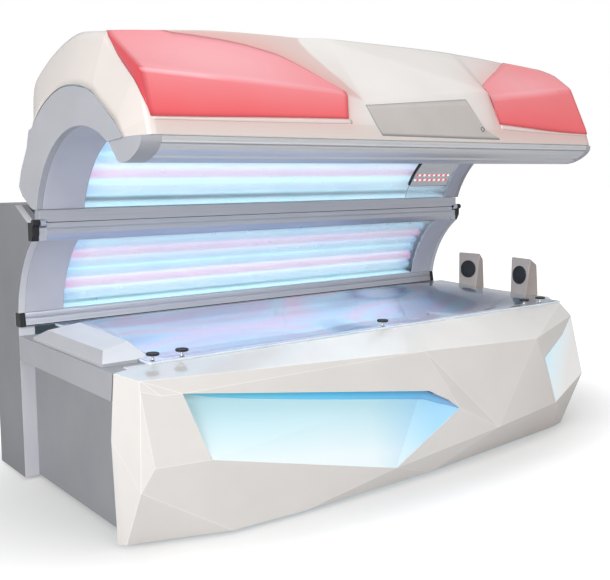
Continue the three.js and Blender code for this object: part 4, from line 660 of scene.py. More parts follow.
# painted light: pink shines into the white round the inlays and falls off with that distance. The field above the
# foot inlay, up to the slanting crease, takes more of it and is painted in half shade: inField is 1 there. The
# turned-in end and the lip under the inlays are painted in half shade too
bloom = {"foot": (0.40, 45), "head": (0.55, 60), "power": 1.2, "turnedIn": 0.45, "underLens": 0.65}
field = {
    "edge": [(2.02, -282), (2.19, -312), (2.31, -330), (2.43, -354), (2.73, -391), (2.91, -403), (3.3, -395),
             (5, -390)],
    "foot": (-1125, 60), "low": (2.0, 0.05), "high": (5.3, 0.9), "paintedPinkLight": (0.18, 0.62, 55), "shade": 0.75,
}
inField = fade(border(field, "edge", gridR) - gridX, -6, 12) * fade(gridX, *field["foot"])
inField *= fade(gridR, *field["low"]) * fade(field["high"][0] - gridR, 0, field["high"][1])
fromFoot, fromHead = offInlay(redFoot), offInlay(redHead)
paintedPinkLight = np.maximum(*[share * np.exp(-(off / reach) ** bloom["power"])
                     for off, (share, reach) in ((fromFoot, bloom["foot"]), (fromHead, bloom["head"]))])
paintedPinkLight *= np.maximum(fade(gridX, firstX - 12, 60), 0.05)
least, more, reach = field["paintedPinkLight"]
paintedPinkLight = np.maximum(paintedPinkLight, inField * (least + more * np.exp(-fromFoot / reach)))
turnedIn, underLens = fade(firstX - gridX, 0, 8), fade(1.12 - gridR, 0, 0.2)
halfShade = np.maximum(bloom["turnedIn"] * turnedIn, bloom["underLens"] * underLens)
halfShade = np.maximum(field["shade"] * inField, halfShade)
piece("canopy_hood", gridShape(hoodPoint(gridX, gridR)), white, "canopy", "white_plastic", ("canopy_cover",),
      attributes={"paintedPinkLight": paintedPinkLight, "halfShade": halfShade}, wall=hood["wall"], sharp=60)


# red inlay: a thin raised lens on the hood. glowShare grows up the lower facet and is a bell round the lamps on the
# upper one;
# it is a little higher along the crease, a painted highlight line, and lowest on the turned-in end, painted shade
def redInlay(end, spec):
    # the second number is a painted highlight along the crease, the third painted shade on the turned-in end
    lowest, creaseHighlight, endShade = 0.14, 0.14, 0.03
    points, x, rows, rim = hoodPatch(spec)
    (lampX, lampRow), (reachX, reachRow), (upper, peak, gain) = spec["lamps"], spec["reach"], spec["glow"]
    bell = np.exp(-(((x - lampX) / reachX) ** 2 + ((rows - lampRow) / reachRow) ** 2))
    glow = np.where(rows < 2.0, lowest + gain * (rows - 1), upper + peak * bell)
    glow += creaseHighlight * np.isin(rows, spec["crease"])
    glow[x < firstX - 1] = endShade
    piece("canopy_red_lens_" + end, gridShape(points, over=True), red, "canopy", "red_panel",
          ("canopy_red_panel_" + end,), attributes={"inside": rim, "glowShare": glow}, wall=3.0, sharp=24)


redInlay("foot", redFoot)
redInlay("head", redHead)


# white sill in front of an inlay's lower border: a narrow band of the hood, raised, whose upper side catches light; a
# little painted pink light from the inlay lies on it
def sill(end, spec):
    x = np.linspace(*spec["sill"], 60)
    left, right = spec["left"][0][1], spec["right"][0][1]
    rows = border(spec, "low", fade(x, left, right - left)) + np.linspace(-0.16, -0.03, 4)[:, None]
    x = np.broadcast_to(x, rows.shape)
    points = hoodPoint(x, rows) + hoodOut(x, rows) * np.array([0.3, 1.6, 2.2, 2.4])[:, None, None]
    piece("canopy_sill_" + end, gridShape(points, over=True), white, "canopy", "white_plastic",
          attributes={"paintedPinkLight": np.full(rows.shape, 0.25)}, wall=2.0, sharp=30)


sill("foot", redFoot)
sill("head", redHead)

# bezel: a satin silver panel on a dark joint, with one small ring for the indicator
bezel = {"across": 26, "up": 10, "lift": 2.0, "low": [(0, 0.38), (1, 0.32)], "high": [(0, 1.80), (1, 1.80)],
         "left": [(0.3, -234), (1.8, -275)], "right": [(0.3, 378), (1.8, 223)]}
joint = {"across": 26, "up": 10, "lift": 1.0, "low": [(0, 0.30), (1, 0.24)], "high": [(0, 1.83), (1, 1.83)],
         "left": [(0.2, -237), (1.83, -279)], "right": [(0.2, 382), (1.83, 226)]}
ring = {"x": 288.0, "row": 1.0, "axisRow": 0.9, "lift": 2.0,
        "profile": [(7.5, 0), (9.5, 0), (9.5, 1.2), (9.0, 1.6), (8.0, 1.6), (7.5, 1.2), (7.5, 0)]}
piece("canopy_bezel_panel", gridShape(hoodPatch(bezel)[0], over=True), bezelGrey, "canopy", "bezel",
      ("canopy_bezel",), wall=1.2)
piece("canopy_bezel_joint", gridShape(hoodPatch(joint)[0], over=True), sheetGrey, "canopy", "bezel", wall=0.8)
ringX, ringRow, axisRow = (np.array([ring[key]]) for key in ("x", "row", "axisRow"))
ringAt = hoodPoint(ringX, ringRow) + hoodOut(ringX, ringRow) * ring["lift"]
points, faces = turned(ring["profile"], 28, ringAt[0], hoodOut(ringX, axisRow)[0])
piece("canopy_indicator_ring", (points, faces[:-2]), blackNylon, "canopy", "bezel")
print("hood done")

# end plates of the canopy: flat between the arch and the hood's rim, each with a flange along the arch
arch = arcThrough(hinge + (8, 44.6), hinge + (-566, 268.5), 149)
ends = {"plate": 25, "foot": (hood["footX"], 1, 157), "head": (hood["headX"], -1, 78), "flange": 6, "inside": 5.3,
        "rear": [(44, 45.3), (135, 90.5), (161.3, 124), (134.3, 182.3), (72.3, 260.3), (48, 322)], "tip": (-655, 277)}
rimLine = spline(np.delete(np.array(hood["rim"], float), 3, 0), np.linspace(0, 10, 61)) + hinge
rimInside = rimLine - leftOf(rimLine) * ends["inside"]
plateLine = spaced(np.vstack([np.array(ends["rear"]) + hinge, rimInside[-4:2:-1], [hinge + ends["tip"]]]), 140)
for name in ("foot", "head"):
    x0, side, strip = ends[name]
    inner = x0 + side * ends["plate"]
    plate = slab(onArc(arch, 0, 0, 140), plateLine, *sorted((x0 + side * 0.4, inner)))
    flange = curvedSheet(arch, 0.2, ends["flange"], inner - side, inner + side * (strip - 0.3))
    kinds = [0] * len(plate[1]) + [1] * len(flange[1])
    piece("canopy_end_plate_" + name, together(plate, flange), [plateGrey, lilacGrey], "canopy", "grey_plastic",
          ("canopy_end_" + name,), faceMaterials=kinds, bevel=3.0, edge=50, sharp=40)

# grip rail: a smooth profile with three grooves, as (place, depth), pressed in as bell-shaped dents; the band before
# the first one has a lighter finish, a painted highlight, and a cap closes each end
grip = {"x": (-1166, 965), "caps": (66, 30), "gap": 0.4, "grooves": [(0.17, 6.0), (0.42, 6.0), (0.60, 4.0)],
        "grooveWidth": 0.016, "band": 0.155,
        "outer": [(-769, 283.8), (-766, 263), (-742, 239), (-691, 214), (-633, 208), (-597, 236), (-566, 267.2)],
        "back": [(-588, 270), (-600, 243), (-635, 216), (-689, 222), (-737, 248), (-757, 268), (-759, 283.8)],
        "capBack": [(-640, 281), (-769, 283.8)]}
stud = {"profile": [(0.5, -4), (8.5, -4), (8.5, 10), (6.5, 12.5), (4, 12.5), (3.4, 10.6), (0.5, 10.6)],
        "x": -1152, "yz": (-606, 228), "axis": (0, 0.6, -0.8)}
outer = spline(grip["outer"], np.linspace(0, 6, 241)) + hinge
t = np.linspace(0, 1, len(outer))
dent = sum(depth * np.exp(-((t - at) / grip["grooveWidth"]) ** 4) for at, depth in grip["grooves"])
profile = np.vstack([outer + leftOf(outer) * dent[:, None], np.array(grip["back"]) + hinge])
highlightBandFaces = np.zeros(len(profile) + 2, int)
highlightBandFaces[:int(grip["band"] * len(outer))] = 1
gripFoot, gripHead = grip["x"]
footEnd, headEnd = gripFoot + grip["caps"][0], gripHead - grip["caps"][1]
piece("canopy_grip_rail", alongX(profile, footEnd, headEnd), [brightRail, railHighlightBand], "canopy", "aluminium",
      ("canopy_front_rail",), faceMaterials=highlightBandFaces, sharp=40)
capLine = np.vstack([outer, np.array(grip["capBack"]) + hinge])
for name, x0, x1 in (("foot", gripFoot, footEnd - grip["gap"]), ("head", headEnd + grip["gap"], gripHead)):
    piece("canopy_grip_cap_" + name, alongX(capLine, x0, x1), plateGrey, "canopy", "grey_plastic", bevel=5, edge=50)
studAt = (stud["x"], *(hinge + stud["yz"]))
piece("canopy_grip_stud", turned(stud["profile"], 24, studAt, stud["axis"]), white, "canopy", "white_plastic")

# curved clear pane between the two flanges
paneX = [x0 + side * (ends["plate"] + strip) for x0, side, strip in (ends["foot"], ends["head"])]
piece("canopy_clear_pane", curvedSheet(arch, 0, 5, *paneX), satinAcrylic, "canopy", "acrylic", ("canopy_pane",),
      sharp=40)


lamp = {"radius": 19.0, "sides": 20, "dark": 30, "dusk": 52, "full": 130, "collar": (12, 46), "collarSize": 1.03,
        "holder": 35, "holderFront": 4, "holderRear": 1.5}


# a bank of lamps at equal angles on an arc: each tube is a ring of points at seven stations along X, with a collar at
# both ends, and curved holders stand behind the collars
def lampBank(name, node, arc, count, x0, x1, standoff, reflector, trim, pink, body):
    sides, radius, holder = lamp["sides"], lamp["radius"], lamp["holder"]
    ring = radius * circle(sides)
    steps = [lamp[key] for key in ("dark", "dusk", "full")]
    stations = [*[x0 + step for step in steps], (x0 + x1) / 2, *[x1 - step for step in steps[::-1]]]
    glowAt = np.repeat([0, 0.25, 1, 1, 1, 0.25, 0], sides)
    near, far = lamp["collar"]
    faces = gridQuads(len(stations), sides, wrapColumns=True)
    parts = []  # shape, number of its finish, tint, glow
    for k, centre in enumerate(onArc(arc, standoff, trim, count)):
        points = np.vstack([np.column_stack([np.full(sides, x), ring + centre]) for x in stations])
        parts.append(((points, faces), 0, float(k in pink), glowAt))
        for a, b in ((x0 + near, x0 + far), (x1 - far, x1 - near)):
            parts.append((alongX(centre + ring * lamp["collarSize"], a, b), 1, 0.0, 0.0))
    for a, b in ((x0, x0 + holder), (x1 - holder, x1)):
        bar = curvedSheet(arc, standoff - lamp["holderFront"], reflector - lamp["holderRear"], a, b, trim - radius)
        parts.append((bar, 2, 0.0, 0.0))
    shapes = [part[0] for part in parts]
    kinds = np.concatenate([np.full(len(faces), kind) for (points, faces), kind, tint, glow in parts])
    tints = np.concatenate([np.full(len(points), tint) for (points, faces), kind, tint, glow in parts])
    glows = np.concatenate([np.broadcast_to(glow, len(points)) for (points, faces), kind, tint, glow in parts])
    piece(name, together(*shapes), [tube, aluminium, white], body, "lamp_glass", (node,), faceMaterials=kinds,
          attributes={"tint": tints, "glow": glows, "paintedPinkLight": np.zeros(len(tints))}, closed=False)


# turned-in wings of a reflector: flat strips from behind the pane's two long edges back to the reflector
def wings(name, arc, x0, x1, near, far, body):
    shapes = []
    for end in (0, -1):
        lines = [np.array([onArc(arc, standoff, trim)[end] for standoff in (near, far)]) for trim in (2.5, 4.0)]
        shapes.append(slab(*lines, x0, x1))
    piece(name, together(*shapes), glowingReflector, body, "reflector", sharp=30)


lampBank("canopy_lamp_tubes", "canopy_lamps", arch, 11, paneX[0] - 40, paneX[1] + 40, standoff=45, reflector=68,
         trim=55, pink=(1, 5), body="canopy")
dress(glowingReflector, "canopy_reflector", "side_reflector", "bed_reflector")
wings("canopy_reflector_wings", arch, *paneX, near=7, far=67, body="canopy")

# face light: a curved case on the pane with a dark cheek, a clear shield and two rows of small lenses, placed by
# angles from the arch's first end
face = {"x": (620, 872), "from": 0.03, "case": 0.185, "to": 0.62, "thick": 14, "rows": (0.27, 0.34), "lenses": 14,
        "margin": 22, "lens": [(0.3, -0.6), (6.2, -0.6), (6.2, 0.2), (5, 1.9), (2.8, 3.1), (0.3, 3.4)]}
faceArc = {**arch, "first": arch["first"] + face["case"], "last": arch["first"] + face["to"]}
shieldArc = {**arch, "first": arch["first"] + face["from"], "last": arch["first"] + face["case"] - 0.004}
faceFoot, faceHead = face["x"]
case = curvedSheet(faceArc, -face["thick"], -3.2, faceFoot, faceHead, 0, 17)
cheek = curvedSheet(faceArc, -face["thick"] - 1.2, -3.0, faceFoot - 3, faceFoot + 4, 4, 17)
shield = curvedSheet(shieldArc, -face["thick"], -9, faceFoot, faceHead, 0, 9)
piece("face_light_case", case, white, "canopy", "bezel", ("face_light",), bevel=2.5, edge=40)
piece("face_light_cheek", cheek, blackNylon, "canopy", "bezel", bevel=1.0, edge=40)
piece("face_light_shield", shield, satinAcrylic, "canopy", "bezel", sharp=40)
lenses, lensTints = [], []
for k, angle in enumerate(face["rows"]):
    out = -np.array([math.cos(arch["first"] + angle), math.sin(arch["first"] + angle)])
    yz = arch["centre"] - out * (arch["radius"] - face["thick"] + 0.3)
    for i, x in enumerate(np.linspace(faceFoot + face["margin"], faceHead - face["margin"], face["lenses"])):
        lenses.append(turned(face["lens"], 12, (x, *yz), (0, *out)))
        lensTints += [float((i + k) % 2)] * len(lenses[-1][0])
piece("face_light_lenses", together(*lenses), dots, "canopy", "bezel", attributes={"tint": lensTints}, closed=False)
softened("canopy_rear_rail", aluminium, "canopy", "aluminium", bevel=1.5, steps=2, edge=40)
softened("canopy_rear_cover", sheetGrey, "canopy", "grey_plastic", bevel=1.0, steps=2, edge=40)
print("canopy done")

# rear column: two end plates with pale faces, and at each a curved strip, two black caps and a screw
sideArc = arcThrough((344, 643.3), (184, 919.7), 32)
column = {"foot": (-1190, 1, 150), "head": (1005, -1, 130), "plate": 25, "screwYz": (356, 612),
          "screw": [(0.5, 0), (9, 0), (9, 1.6), (7.5, 2.4), (5.2, 2.4), (4.4, 1.2), (0.5, 1.2)]}
for name in ("foot", "head"):
    x0, side, strip = column[name]
    softened("column_end_" + name, columnGrey, "bed", "grey_plastic", bevel=3.0, edge=35, level=0.02, second=paleGrey,
             other=lambda centres, normals: normals[:, 1] < -0.4)
    inner = x0 + side * (column["plate"] + 0.3)
    sheet = curvedSheet(sideArc, 0, 6, inner, inner + side * (strip - 0.6), 0.6)
    piece("side_strip_" + name, sheet, lilacGrey, "bed", "pale_strip", ("side_end_strip_" + name,), bevel=1.5,
          edge=50, sharp=40)
    softened("lower_rail_cap_" + name, blackNylon, "bed", "black_plastic", bevel=3.0, edge=30)
    softened("hinge_cap_" + name, blackNylon, "bed", "black_plastic", bevel=2.5, edge=40)
    screw = turned(column["screw"], 20, (x0 + side * 2.8, *column["screwYz"]), (-side, 0, 0))
    piece("lower_rail_screw_" + name, screw, rodSteel, "bed", "black_plastic")

# rails of the side wall: eased outlines with a shadow groove along the face. The last corner of the lower one is
# painted black in the rubber finish, as painted shade of the gap under the rail; short ends carry the upper one on to
# the hinge caps
rails = {
    "lower": [(334, 591.5), (378, 591.5), (378, 643), (344, 643), (340.2, 624), (344, 622.6), (343.6, 620),
              (339.2, 619), (337, 603.5), (335.1, 597)],
    "upper": [(184, 920), (215, 920), (215, 984.5), (172, 984.5), (172, 966), (175.5, 964.6), (175.5, 962.4),
              (172, 961), (172, 945)],
    "end": [(175, 920.3), (214, 920.3), (214, 968), (175, 968)],
    "lowerX": (-1164.7, 979.7), "upperX": (-1138, 953), "footX": (-1165.5, -1137.8), "headX": (952.8, 980.5),
}
lower, upper, railEnd = (eased(rails[key], 2.0, 3) for key in ("lower", "upper", "end"))
shadowGapFaces = np.zeros(len(lower) + 2, int)
shadowGapFaces[-4:-2] = 1
piece("side_rail_lower", alongX(lower, *rails["lowerX"]), [aluminium, rubber], "bed", "aluminium",
      ("side_lower_rail",), faceMaterials=shadowGapFaces, sharp=30)
piece("side_rail_upper", alongX(upper, *rails["upperX"]), aluminium, "bed", "aluminium", ("side_upper_rail",),
      sharp=30)
for name in ("foot", "head"):
    piece("side_rail_upper_end_" + name, alongX(railEnd, *rails[name + "X"]), aluminium, "bed", "aluminium", sharp=30)

# side wall: clear pane, reflector wings and lamps
sideX = (-1015, 850)
piece("side_clear_pane", curvedSheet(sideArc, 0, 5, *sideX, 0.6), satinAcrylic, "bed", "acrylic", ("side_pane",),
      sharp=40)
wings("side_reflector_wings", sideArc, *sideX, near=7, far=67, body="bed")
lampBank("side_lamp_tubes", "side_lamps", sideArc, 7, sideX[0] - 40, sideX[1] + 40, standoff=45, reflector=68,
         trim=40, pink=(1, 4), body="bed")
dress(sheetGrey, "column_top_cover", "column_rear_panel")
dress(blackNylon, "mains_gland", "fan_shroud", "fan_impeller")
dress(strutBlack, "strut_cylinder_foot", "strut_cylinder_head")
dress(rodSteel, "strut_rod_foot", "strut_rod_head")
print("column done")

# front shell: flat facets between corners, and a deck that twists from level at the foot end to sloping at the head
# end, ruled straight from the ledge's lip to the upper crease. dim is the half shade of corners at the head end
front = {
    "edgeTop": (-1190, -430, 559), "edgeWaist": (-1190, -400, 343), "edgeFoot": (-1190, -425, 14),
    "bandFoot": (-1171, -563, 526), "bandStep": (-1107, -572, 506), "cheekFoot": (-1178, -566, 217),
    "cheekMid": (-1136, -578, 288), "topFoot": (-1035, -576, 502), "topHead": (20, -590, 346),
    "turn": (127, -594, 294), "tip": (181, -598, 254), "low": (-156, -600, 86), "lowFoot": (-945, -592, 280),
    "keelMid": (426, -592, 131), "keelHead": (843, -562, 160), "skirtFoot": (-1172, -450, 14),
    "skirtBend": (-847, -560, 14), "skirtKeel": (-566, -572, 14), "skirtMid": (60, -562, 14),
    "skirtHead": (930, -485, 14), "skirtTip": (1015, -468, 14), "noseTop": (1080, -455, 507),
    "noseMid": (1186, -455, 223), "windowTop": (968, -492, 437), "windowMid": (763, -555, 367),
}
dim = {"keelHead": 0.4, "skirtHead": 0.8, "skirtTip": 1.0, "noseMid": 0.3}
deck = {"crease": [(-1170, -560, 557), (19, -562, 494), (690, -562, 461)], "steps": (22, 14), "ledgeX": (-1128, 1062),
        "lipY": -405, "rearY": -372}
frontFields = """edgeTop edgeWaist bandFoot crease0 / edgeWaist cheekFoot bandFoot
    / edgeWaist edgeFoot skirtFoot cheekFoot / edgeTop crease0 lip0 / lipEnd creaseEnd noseTop
    / bandFoot cheekFoot cheekMid / bandFoot cheekMid lowFoot bandStep / bandStep lowFoot topFoot
    / crease0 bandFoot bandStep / crease0 bandStep topFoot / topFoot topHead creaseMid / topHead turn creaseMid
    / turn tip creaseMid / tip keelMid creaseMid / tip low keelMid / keelMid keelHead creaseEnd
    / cheekFoot skirtFoot skirtBend / cheekFoot skirtBend cheekMid / cheekMid skirtBend lowFoot
    / lowFoot skirtBend skirtKeel / lowFoot skirtKeel low / low skirtKeel skirtMid / low skirtMid keelMid
    / keelMid skirtMid skirtHead / keelMid skirtHead keelHead / keelHead skirtHead skirtTip
    / keelHead skirtTip noseMid / creaseEnd keelHead windowMid / creaseEnd windowMid windowTop
    / creaseEnd windowTop noseTop"""
toMid, toHead = deck["steps"]
run = np.concatenate([np.linspace(0, 1, toMid + 1), 1 + np.linspace(0, 1, toHead + 1)[1:]])
crease = np.column_stack([np.interp(run, [0, 1, 2], values) for values in np.array(deck["crease"], float).T])
along = (crease[:, 0] - crease[0, 0]) / (crease[-1, 0] - crease[0, 0])
ledgeX = deck["ledgeX"][0] + (deck["ledgeX"][1] - deck["ledgeX"][0]) * along
lip, ledge = (np.column_stack([ledgeX, np.full_like(ledgeX, y), np.full_like(ledgeX, deckZ)])
              for y in (deck["lipY"], deck["rearY"]))
frontPoints = np.vstack([np.array(list(front.values()), float), crease, lip, ledge])
count, base = len(run), len(front)
mid, end = base + toMid, base + count - 1
number = {name: i for i, name in enumerate(front)}
number.update({"crease0": base, "creaseMid": mid, "creaseEnd": end, "lip0": end + 1, "lipEnd": end + count})
fields = [[number[corner] for corner in corners.split()] for corners in frontFields.split("/")]
for i in (np.arange(base, end), np.arange(base, end) + count):
    fields += np.column_stack([i + count, i, i + 1, i + count + 1]).tolist()
fields += [[number["topFoot"], *range(mid, base - 1, -1)], [number["keelMid"], *range(end, mid - 1, -1)]]
shade = np.zeros(len(frontPoints))
shade[[number[corner] for corner in dim]] = list(dim.values())
# the rounded edges of the shell take the lighter, faintly glowing copy of the white: painted highlights along the
# creases
piece("front_shell", (frontPoints, fields), [white, whiteCreaseHighlight], "bed", "white_plastic", ("front_panel",), wall=7.0,
      bevel=3.0, steps=3, edge=3.5, sharp=60, edgeMaterial=1, attributes={"halfShade": shade})
softened("head_end_cover", white, "bed", "white_plastic", bevel=2.5, edge=8, sharp=40, level=0.8)
# the top band of the foot end panel takes the lighter grey, painted light, and its recessed panel the darker one,
# painted shade
softened("foot_end_panel", grey, "bed", "grey_plastic", bevel=3.0, edge=20, second=litBandGrey,
         other=lambda centres, normals: centres[:, 2] > 0.49)
softened("foot_end_cap", capWhite, "bed", "grey_plastic", bevel=9.0, steps=4, edge=12, second=capGrey,
         other=lambda centres, normals: normals[:, 2] < 0.8)
dress(opal, "front_light_panel")
dress(opalCorner, "head_corner_light")
dress(frameSteel, "base_frame")
dress(ballastCase, "ballast_box")
dress(rubber, *["levelling_foot_%s_%s" % (a, b) for a in ("foot", "head") for b in ("front", "rear")])


# depth of the plane through three corners, at x and z: the plane's equation solved for y
def planeY(corners, x, z):
    a, b, c = np.array(corners, float)
    normal = np.cross(b - a, c - a)
    return (np.dot(normal, a) - normal[0] * x - normal[2] * z) / normal[1]


# blue light line: its upper border follows the overhang, its width swells from the foot end and tapers round the head
# corner, and its face is a shallow bow in front of the light panel's two planes
strip = {
    "path": [(-1031, 499.5), (-900, 480), (-600, 436), (-300, 391.5), (-80, 359), (16, 343), (78, 316), (127, 290),
             (172, 258)],
    "width": [2, 19, 29, 33, 35, 36, 30, 18, 3],
    "footPlane": [(-945, -592, 280), (20, -545, 346), (-1035, -531, 502)],
    "headPlane": [(-156, -600, 86), (181, -598, 254), (20, -545, 346)],
    "stand": 2.2, "bow": 2.4, "fullBow": 16,
}
t = np.linspace(0, 8, 90)
upper = spline(strip["path"], t)
wide = spline(np.column_stack([strip["width"], strip["width"]]), t)[:, :1]
v = np.linspace(0, 1, 7)[None, :]
x, z = np.repeat(upper[:, :1], 7, 1), upper[:, 1:] - wide * v
panel = np.minimum(planeY(strip["footPlane"], x, z), planeY(strip["headPlane"], x, z))
y = panel - strip["stand"] - strip["bow"] * np.sin(math.pi * v) * np.minimum(wide / strip["fullBow"], 1)
piece("front_blue_line", gridShape(np.stack([x, y, z], -1), over=True), blue, "bed", "blue_strip",
      ("front_light_strip",), wall=1.6)

# clear pane: flange, dish and pillow; calm is the stretch along X in which its section stays the same
pane = {"x": (-1050, 1068), "calm": (-800, 620), "front": (-372, 560.3), "rear": (318, 582.6), "dish": 85,
        "flange": 27, "run": 190, "pillow": 26, "thick": 8, "frontLip": [-400, -386, -373],
        "rearLip": [319, 332, 345]}
dish = arcThrough(pane["front"], pane["rear"], pane["dish"])


# smooth step: three times the square less twice the cube
def smooth(t):
    return np.clip(t, 0, 1) ** 2 * (3 - 2 * np.clip(t, 0, 1))


# underside of the pane: straight line between the flanges, plus the dish's arc depth times two smooth run-outs along
# X, plus a pillow near the head end
def paneUnder(x, y):
    (y0, z0), (y1, z1) = pane["front"], pane["rear"]
    (foot, head), run = pane["x"], pane["run"]
    inner = np.clip(y, y0, y1)
    t = (inner - y0) / (y1 - y0)
    flat = z0 + (z1 - z0) * t
    deep = dish["centre"][1] - np.sqrt(dish["radius"] ** 2 - (inner - dish["centre"][0]) ** 2)
    runOut = smooth((x - foot - pane["flange"]) / run) * smooth((head - pane["flange"] - x) / (2 * run))
    rest = smooth((x - head + 2 * run) / run) * smooth((head - x) / run)
    return flat + (deep - flat) * runOut + pane["pillow"] * rest * np.sin(math.pi * t)


(paneFoot, paneHead), (calmFoot, calmHead) = pane["x"], pane["calm"]
paneGridX = np.concatenate([np.linspace(paneFoot, calmFoot, 26)[:-1], np.linspace(calmFoot, calmHead, 24)[:-1],
                            np.linspace(calmHead, paneHead, 46)])
paneGridY = np.concatenate([pane["frontLip"], np.linspace(pane["front"][0], pane["rear"][0], 44), pane["rearLip"]])
gx, gy = np.meshgrid(paneGridX, paneGridY, indexing="ij")
piece("bed_clear_pane", gridShape(np.stack([gx, gy, paneUnder(gx, gy) + pane["thick"]], -1)), [acrylic, acrylicEdge],
      "bed", "acrylic", ("bed_pane",), wall=pane["thick"], rim=1, sharp=60)
bedX = (-1000, 960)
wings("bed_reflector_wings", dish, *bedX, near=12, far=82, body="bed")
lampBank("bed_lamp_tubes", "bed_lamps", dish, 9, *bedX, standoff=60, reflector=83, trim=72, pink=(1, 4, 7),
         body="bed")

# lock knobs: round heads on a waisted steel stem, one on each lock's own axis; the first rows of the profile are stem
knob = {"y": -388, "x": (-1033, -926, -36.9, 823, 937), "z": 568.6, "stem": 6, "sides": 32,
        "profile": [(0.5, 0), (9, 0), (9, 2.2), (8.2, 3), (5.6, 6), (5, 9), (5.2, 18), (9, 19.4), (20.6, 20),
                    (22, 21.8), (22, 25.8), (20.8, 27.4), (17, 28), (15.5, 26.8), (0.5, 26.6)]}
stemFaces = np.append(np.tile(np.arange(len(knob["profile"]) - 1) < knob["stem"], knob["sides"]), [True, False])
for i, x in enumerate(knob["x"], 1):
    head = turned(knob["profile"], knob["sides"], (x, knob["y"], knob["z"]))
    piece("pane_knob_%d" % i, head, [blackNylon, rodSteel], "lock_%d" % i, "black_plastic", ("pane_lock_%d" % i,),
          faceMaterials=stemFaces, sharp=35)

# speakers: softened housings, and a round grille with a rolled rim that leans with the housing's face
speaker = {"x": 1128, "front": -155, "rear": 180, "turn": 7.5, "depth": 96, "height": 186, "taper": 0.28,
           "grilleAt": 0.55, "radius": 44}
r = speaker["radius"]
grille = [(0.4, 0), (r, 0), (r, 3.2), (r - 1.2, 4.4), (r - 3.4, 4.2), (r - 5, 2.4), (r * 0.7, 3.6), (r * 0.35, 4.3),
          (0.4, 4.5)]
lean = math.atan2(speaker["depth"] / 2 * speaker["taper"], speaker["height"])
high = speaker["height"] * speaker["grilleAt"]
at = np.array([-speaker["depth"] / 2 + math.tan(lean) * high, 0, high])
out = np.array([-math.cos(lean), 0, math.sin(lean)])
for place, way in (("front", -1), ("rear", 1)):
    softened("speaker_housing_" + place, warmWhite, "bed", "white_plastic", bevel=7.0, steps=4, edge=20)
    turn = math.radians(speaker["turn"]) * way
    spin = np.array([[math.cos(turn), -math.sin(turn), 0], [math.sin(turn), math.cos(turn), 0], [0, 0, 1]])
    shape = turned(grille, 48, spin @ at + np.array([speaker["x"], speaker[place], deckZ + 0.3]), spin @ out)
    piece("speaker_grille_round_" + place, shape, grilleSteel, "bed", "grille_black", ("speaker_grille_" + place,),
          uv=turned(grille, 48)[0][:, :2] * mm, sharp=40, closed=False)
print("bed done")


# how far a ray sees the white of the background: camera and transmitted rays all of it, glossy rays a share
def seenWhite(tree, glossy):
    path = put(tree, "LightPath")
    seen = put(tree, "Math", operation="MAXIMUM", _0=(path, "Is Camera Ray"),
               _1=(path, "Is Transmission Ray"))
    return put(tree, "Math", operation="MULTIPLY_ADD", _0=(path, "Is Glossy Ray"), _1=glossy,
               _2=seen)


# matt white paper floor: where it is seen it also carries the white of the background, less of it in an oval round
# the object and more with the distance from it, so that the oval shows as a painted soft shadow
floorMesh = bpy.data.meshes.new("studio_floor")
floorMesh.from_pydata([(-40, -40, 0), (40, -40, 0), (40, 40, 0), (-40, 40, 0)], [], [(0, 1, 2, 3)])
floor = bpy.data.objects.new("studio_floor", floorMesh)
bpy.context.collection.objects.link(floor)
paper, tree, shader = blank("white_paper_floor", Roughness=0.9, Emission_Color=(1, 1, 1, 1))
place = put(tree, "TexCoord")
ramp = tones(tree, place, 400, 2.0, (0.3, "#C2C2C2"), (0.7, "#C6C6C6"))[1]
paintedShadowOval = put(tree, "Mapping", Vector=(place, "Object"), Scale=(0.8, 1.5, 1.0))
far = put(tree, "VectorMath", operation="LENGTH", _0=paintedShadowOval)
share = put(tree, "MapRange", interpolation_type="SMOOTHSTEP", Value=(far, "Value"), From_Min=0.9,
            From_Max=1.95, To_Min=0.305, To_Max=0.95)
seen = seenWhite(tree, 0.3)
lift = put(tree, "Math", operation="MULTIPLY", _0=seen, _1=share)
fill(shader, Base_Color=ramp, Emission_Strength=lift)
floorMesh.materials.append(paper)

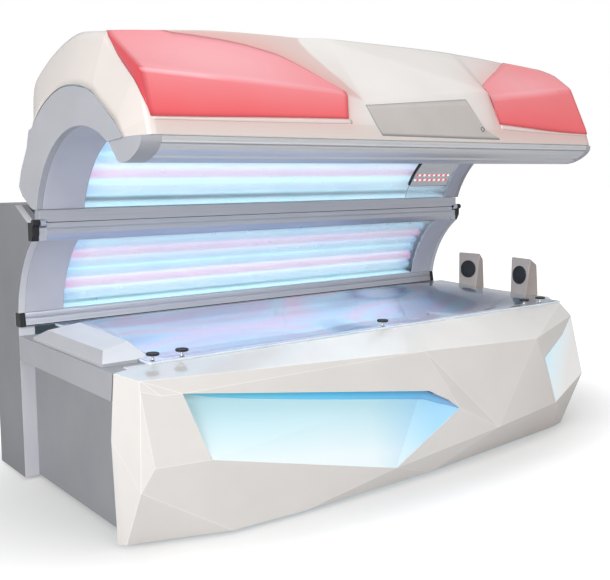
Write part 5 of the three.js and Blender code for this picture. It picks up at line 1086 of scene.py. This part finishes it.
world = bpy.data.worlds.new("studio")
bpy.context.scene.world = world
world.use_nodes = True
tree = world.node_tree
tree.nodes.clear()
level = put(tree, "MapRange", Value=seenWhite(tree, 0.4), To_Min=0.26, To_Max=1.0)
sky = put(tree, "Background", Color=(1, 1, 1, 1), Strength=level)
put(tree, "OutputWorld", Surface=sky)

# softboxes: a large one from the foot end's side, one overhead, a weak one in front; canopyGlow is what the lit lamps
# of the open canopy throw on the deck. Places in metres, powers in watts
lights = {
    "canopyGlow": {"at": (-0.1, -0.30, 1.17), "to": (-0.1, -0.52, 0.50), "size": (1.3, 0.12), "power": 1.9},
    "footEnd": {"at": (-7.2, -3.0, 2.7), "to": (-0.2, -0.1, 0.8), "size": (4.5, 3.4), "power": 368},
    "overhead": {"at": (0.0, -1.6, 7.0), "to": (0, -0.1, 0.6), "size": (6.0, 3.6), "power": 138},
    "front": {"at": (-0.9, -7.5, 4.6), "to": (0, 0, 0.5), "size": (4.0, 2.6), "power": 142},
}
for name, spec in lights.items():
    lamp = bpy.data.lights.new(name, "AREA")
    lamp.shape, lamp.size, lamp.size_y, lamp.energy = "RECTANGLE", *spec["size"], spec["power"]
    obj = bpy.data.objects.new(name, lamp)
    obj.location = spec["at"]
    obj.rotation_euler = (Vector(spec["to"]) - Vector(spec["at"])).to_track_quat("-Z", "Y").to_euler()
    obj.visible_camera = False
    bpy.context.collection.objects.link(obj)

# camera at the photograph's angle; bearing from X and drop below the level, in degrees
view = {"at": (-2.360, -2.856, 1.180), "bearing": 51.8, "drop": 7.9, "lens": 52.4, "sensor": 36}
bearing, drop = math.radians(view["bearing"]), math.radians(view["drop"])
look = Vector((math.cos(bearing) * math.cos(drop), math.sin(bearing) * math.cos(drop), -math.sin(drop)))
camera = bpy.data.cameras.new("photoCamera")
camera.lens, camera.sensor_width, camera.sensor_fit = view["lens"], view["sensor"], "HORIZONTAL"
cameraObject = bpy.data.objects.new("photoCamera", camera)
cameraObject.location = view["at"]
cameraObject.rotation_euler = look.to_track_quat("-Z", "Y").to_euler()
bpy.context.collection.objects.link(cameraObject)
bpy.context.scene.camera = cameraObject
bpy.context.scene.view_settings.view_transform = "Standard"
print("stage set")
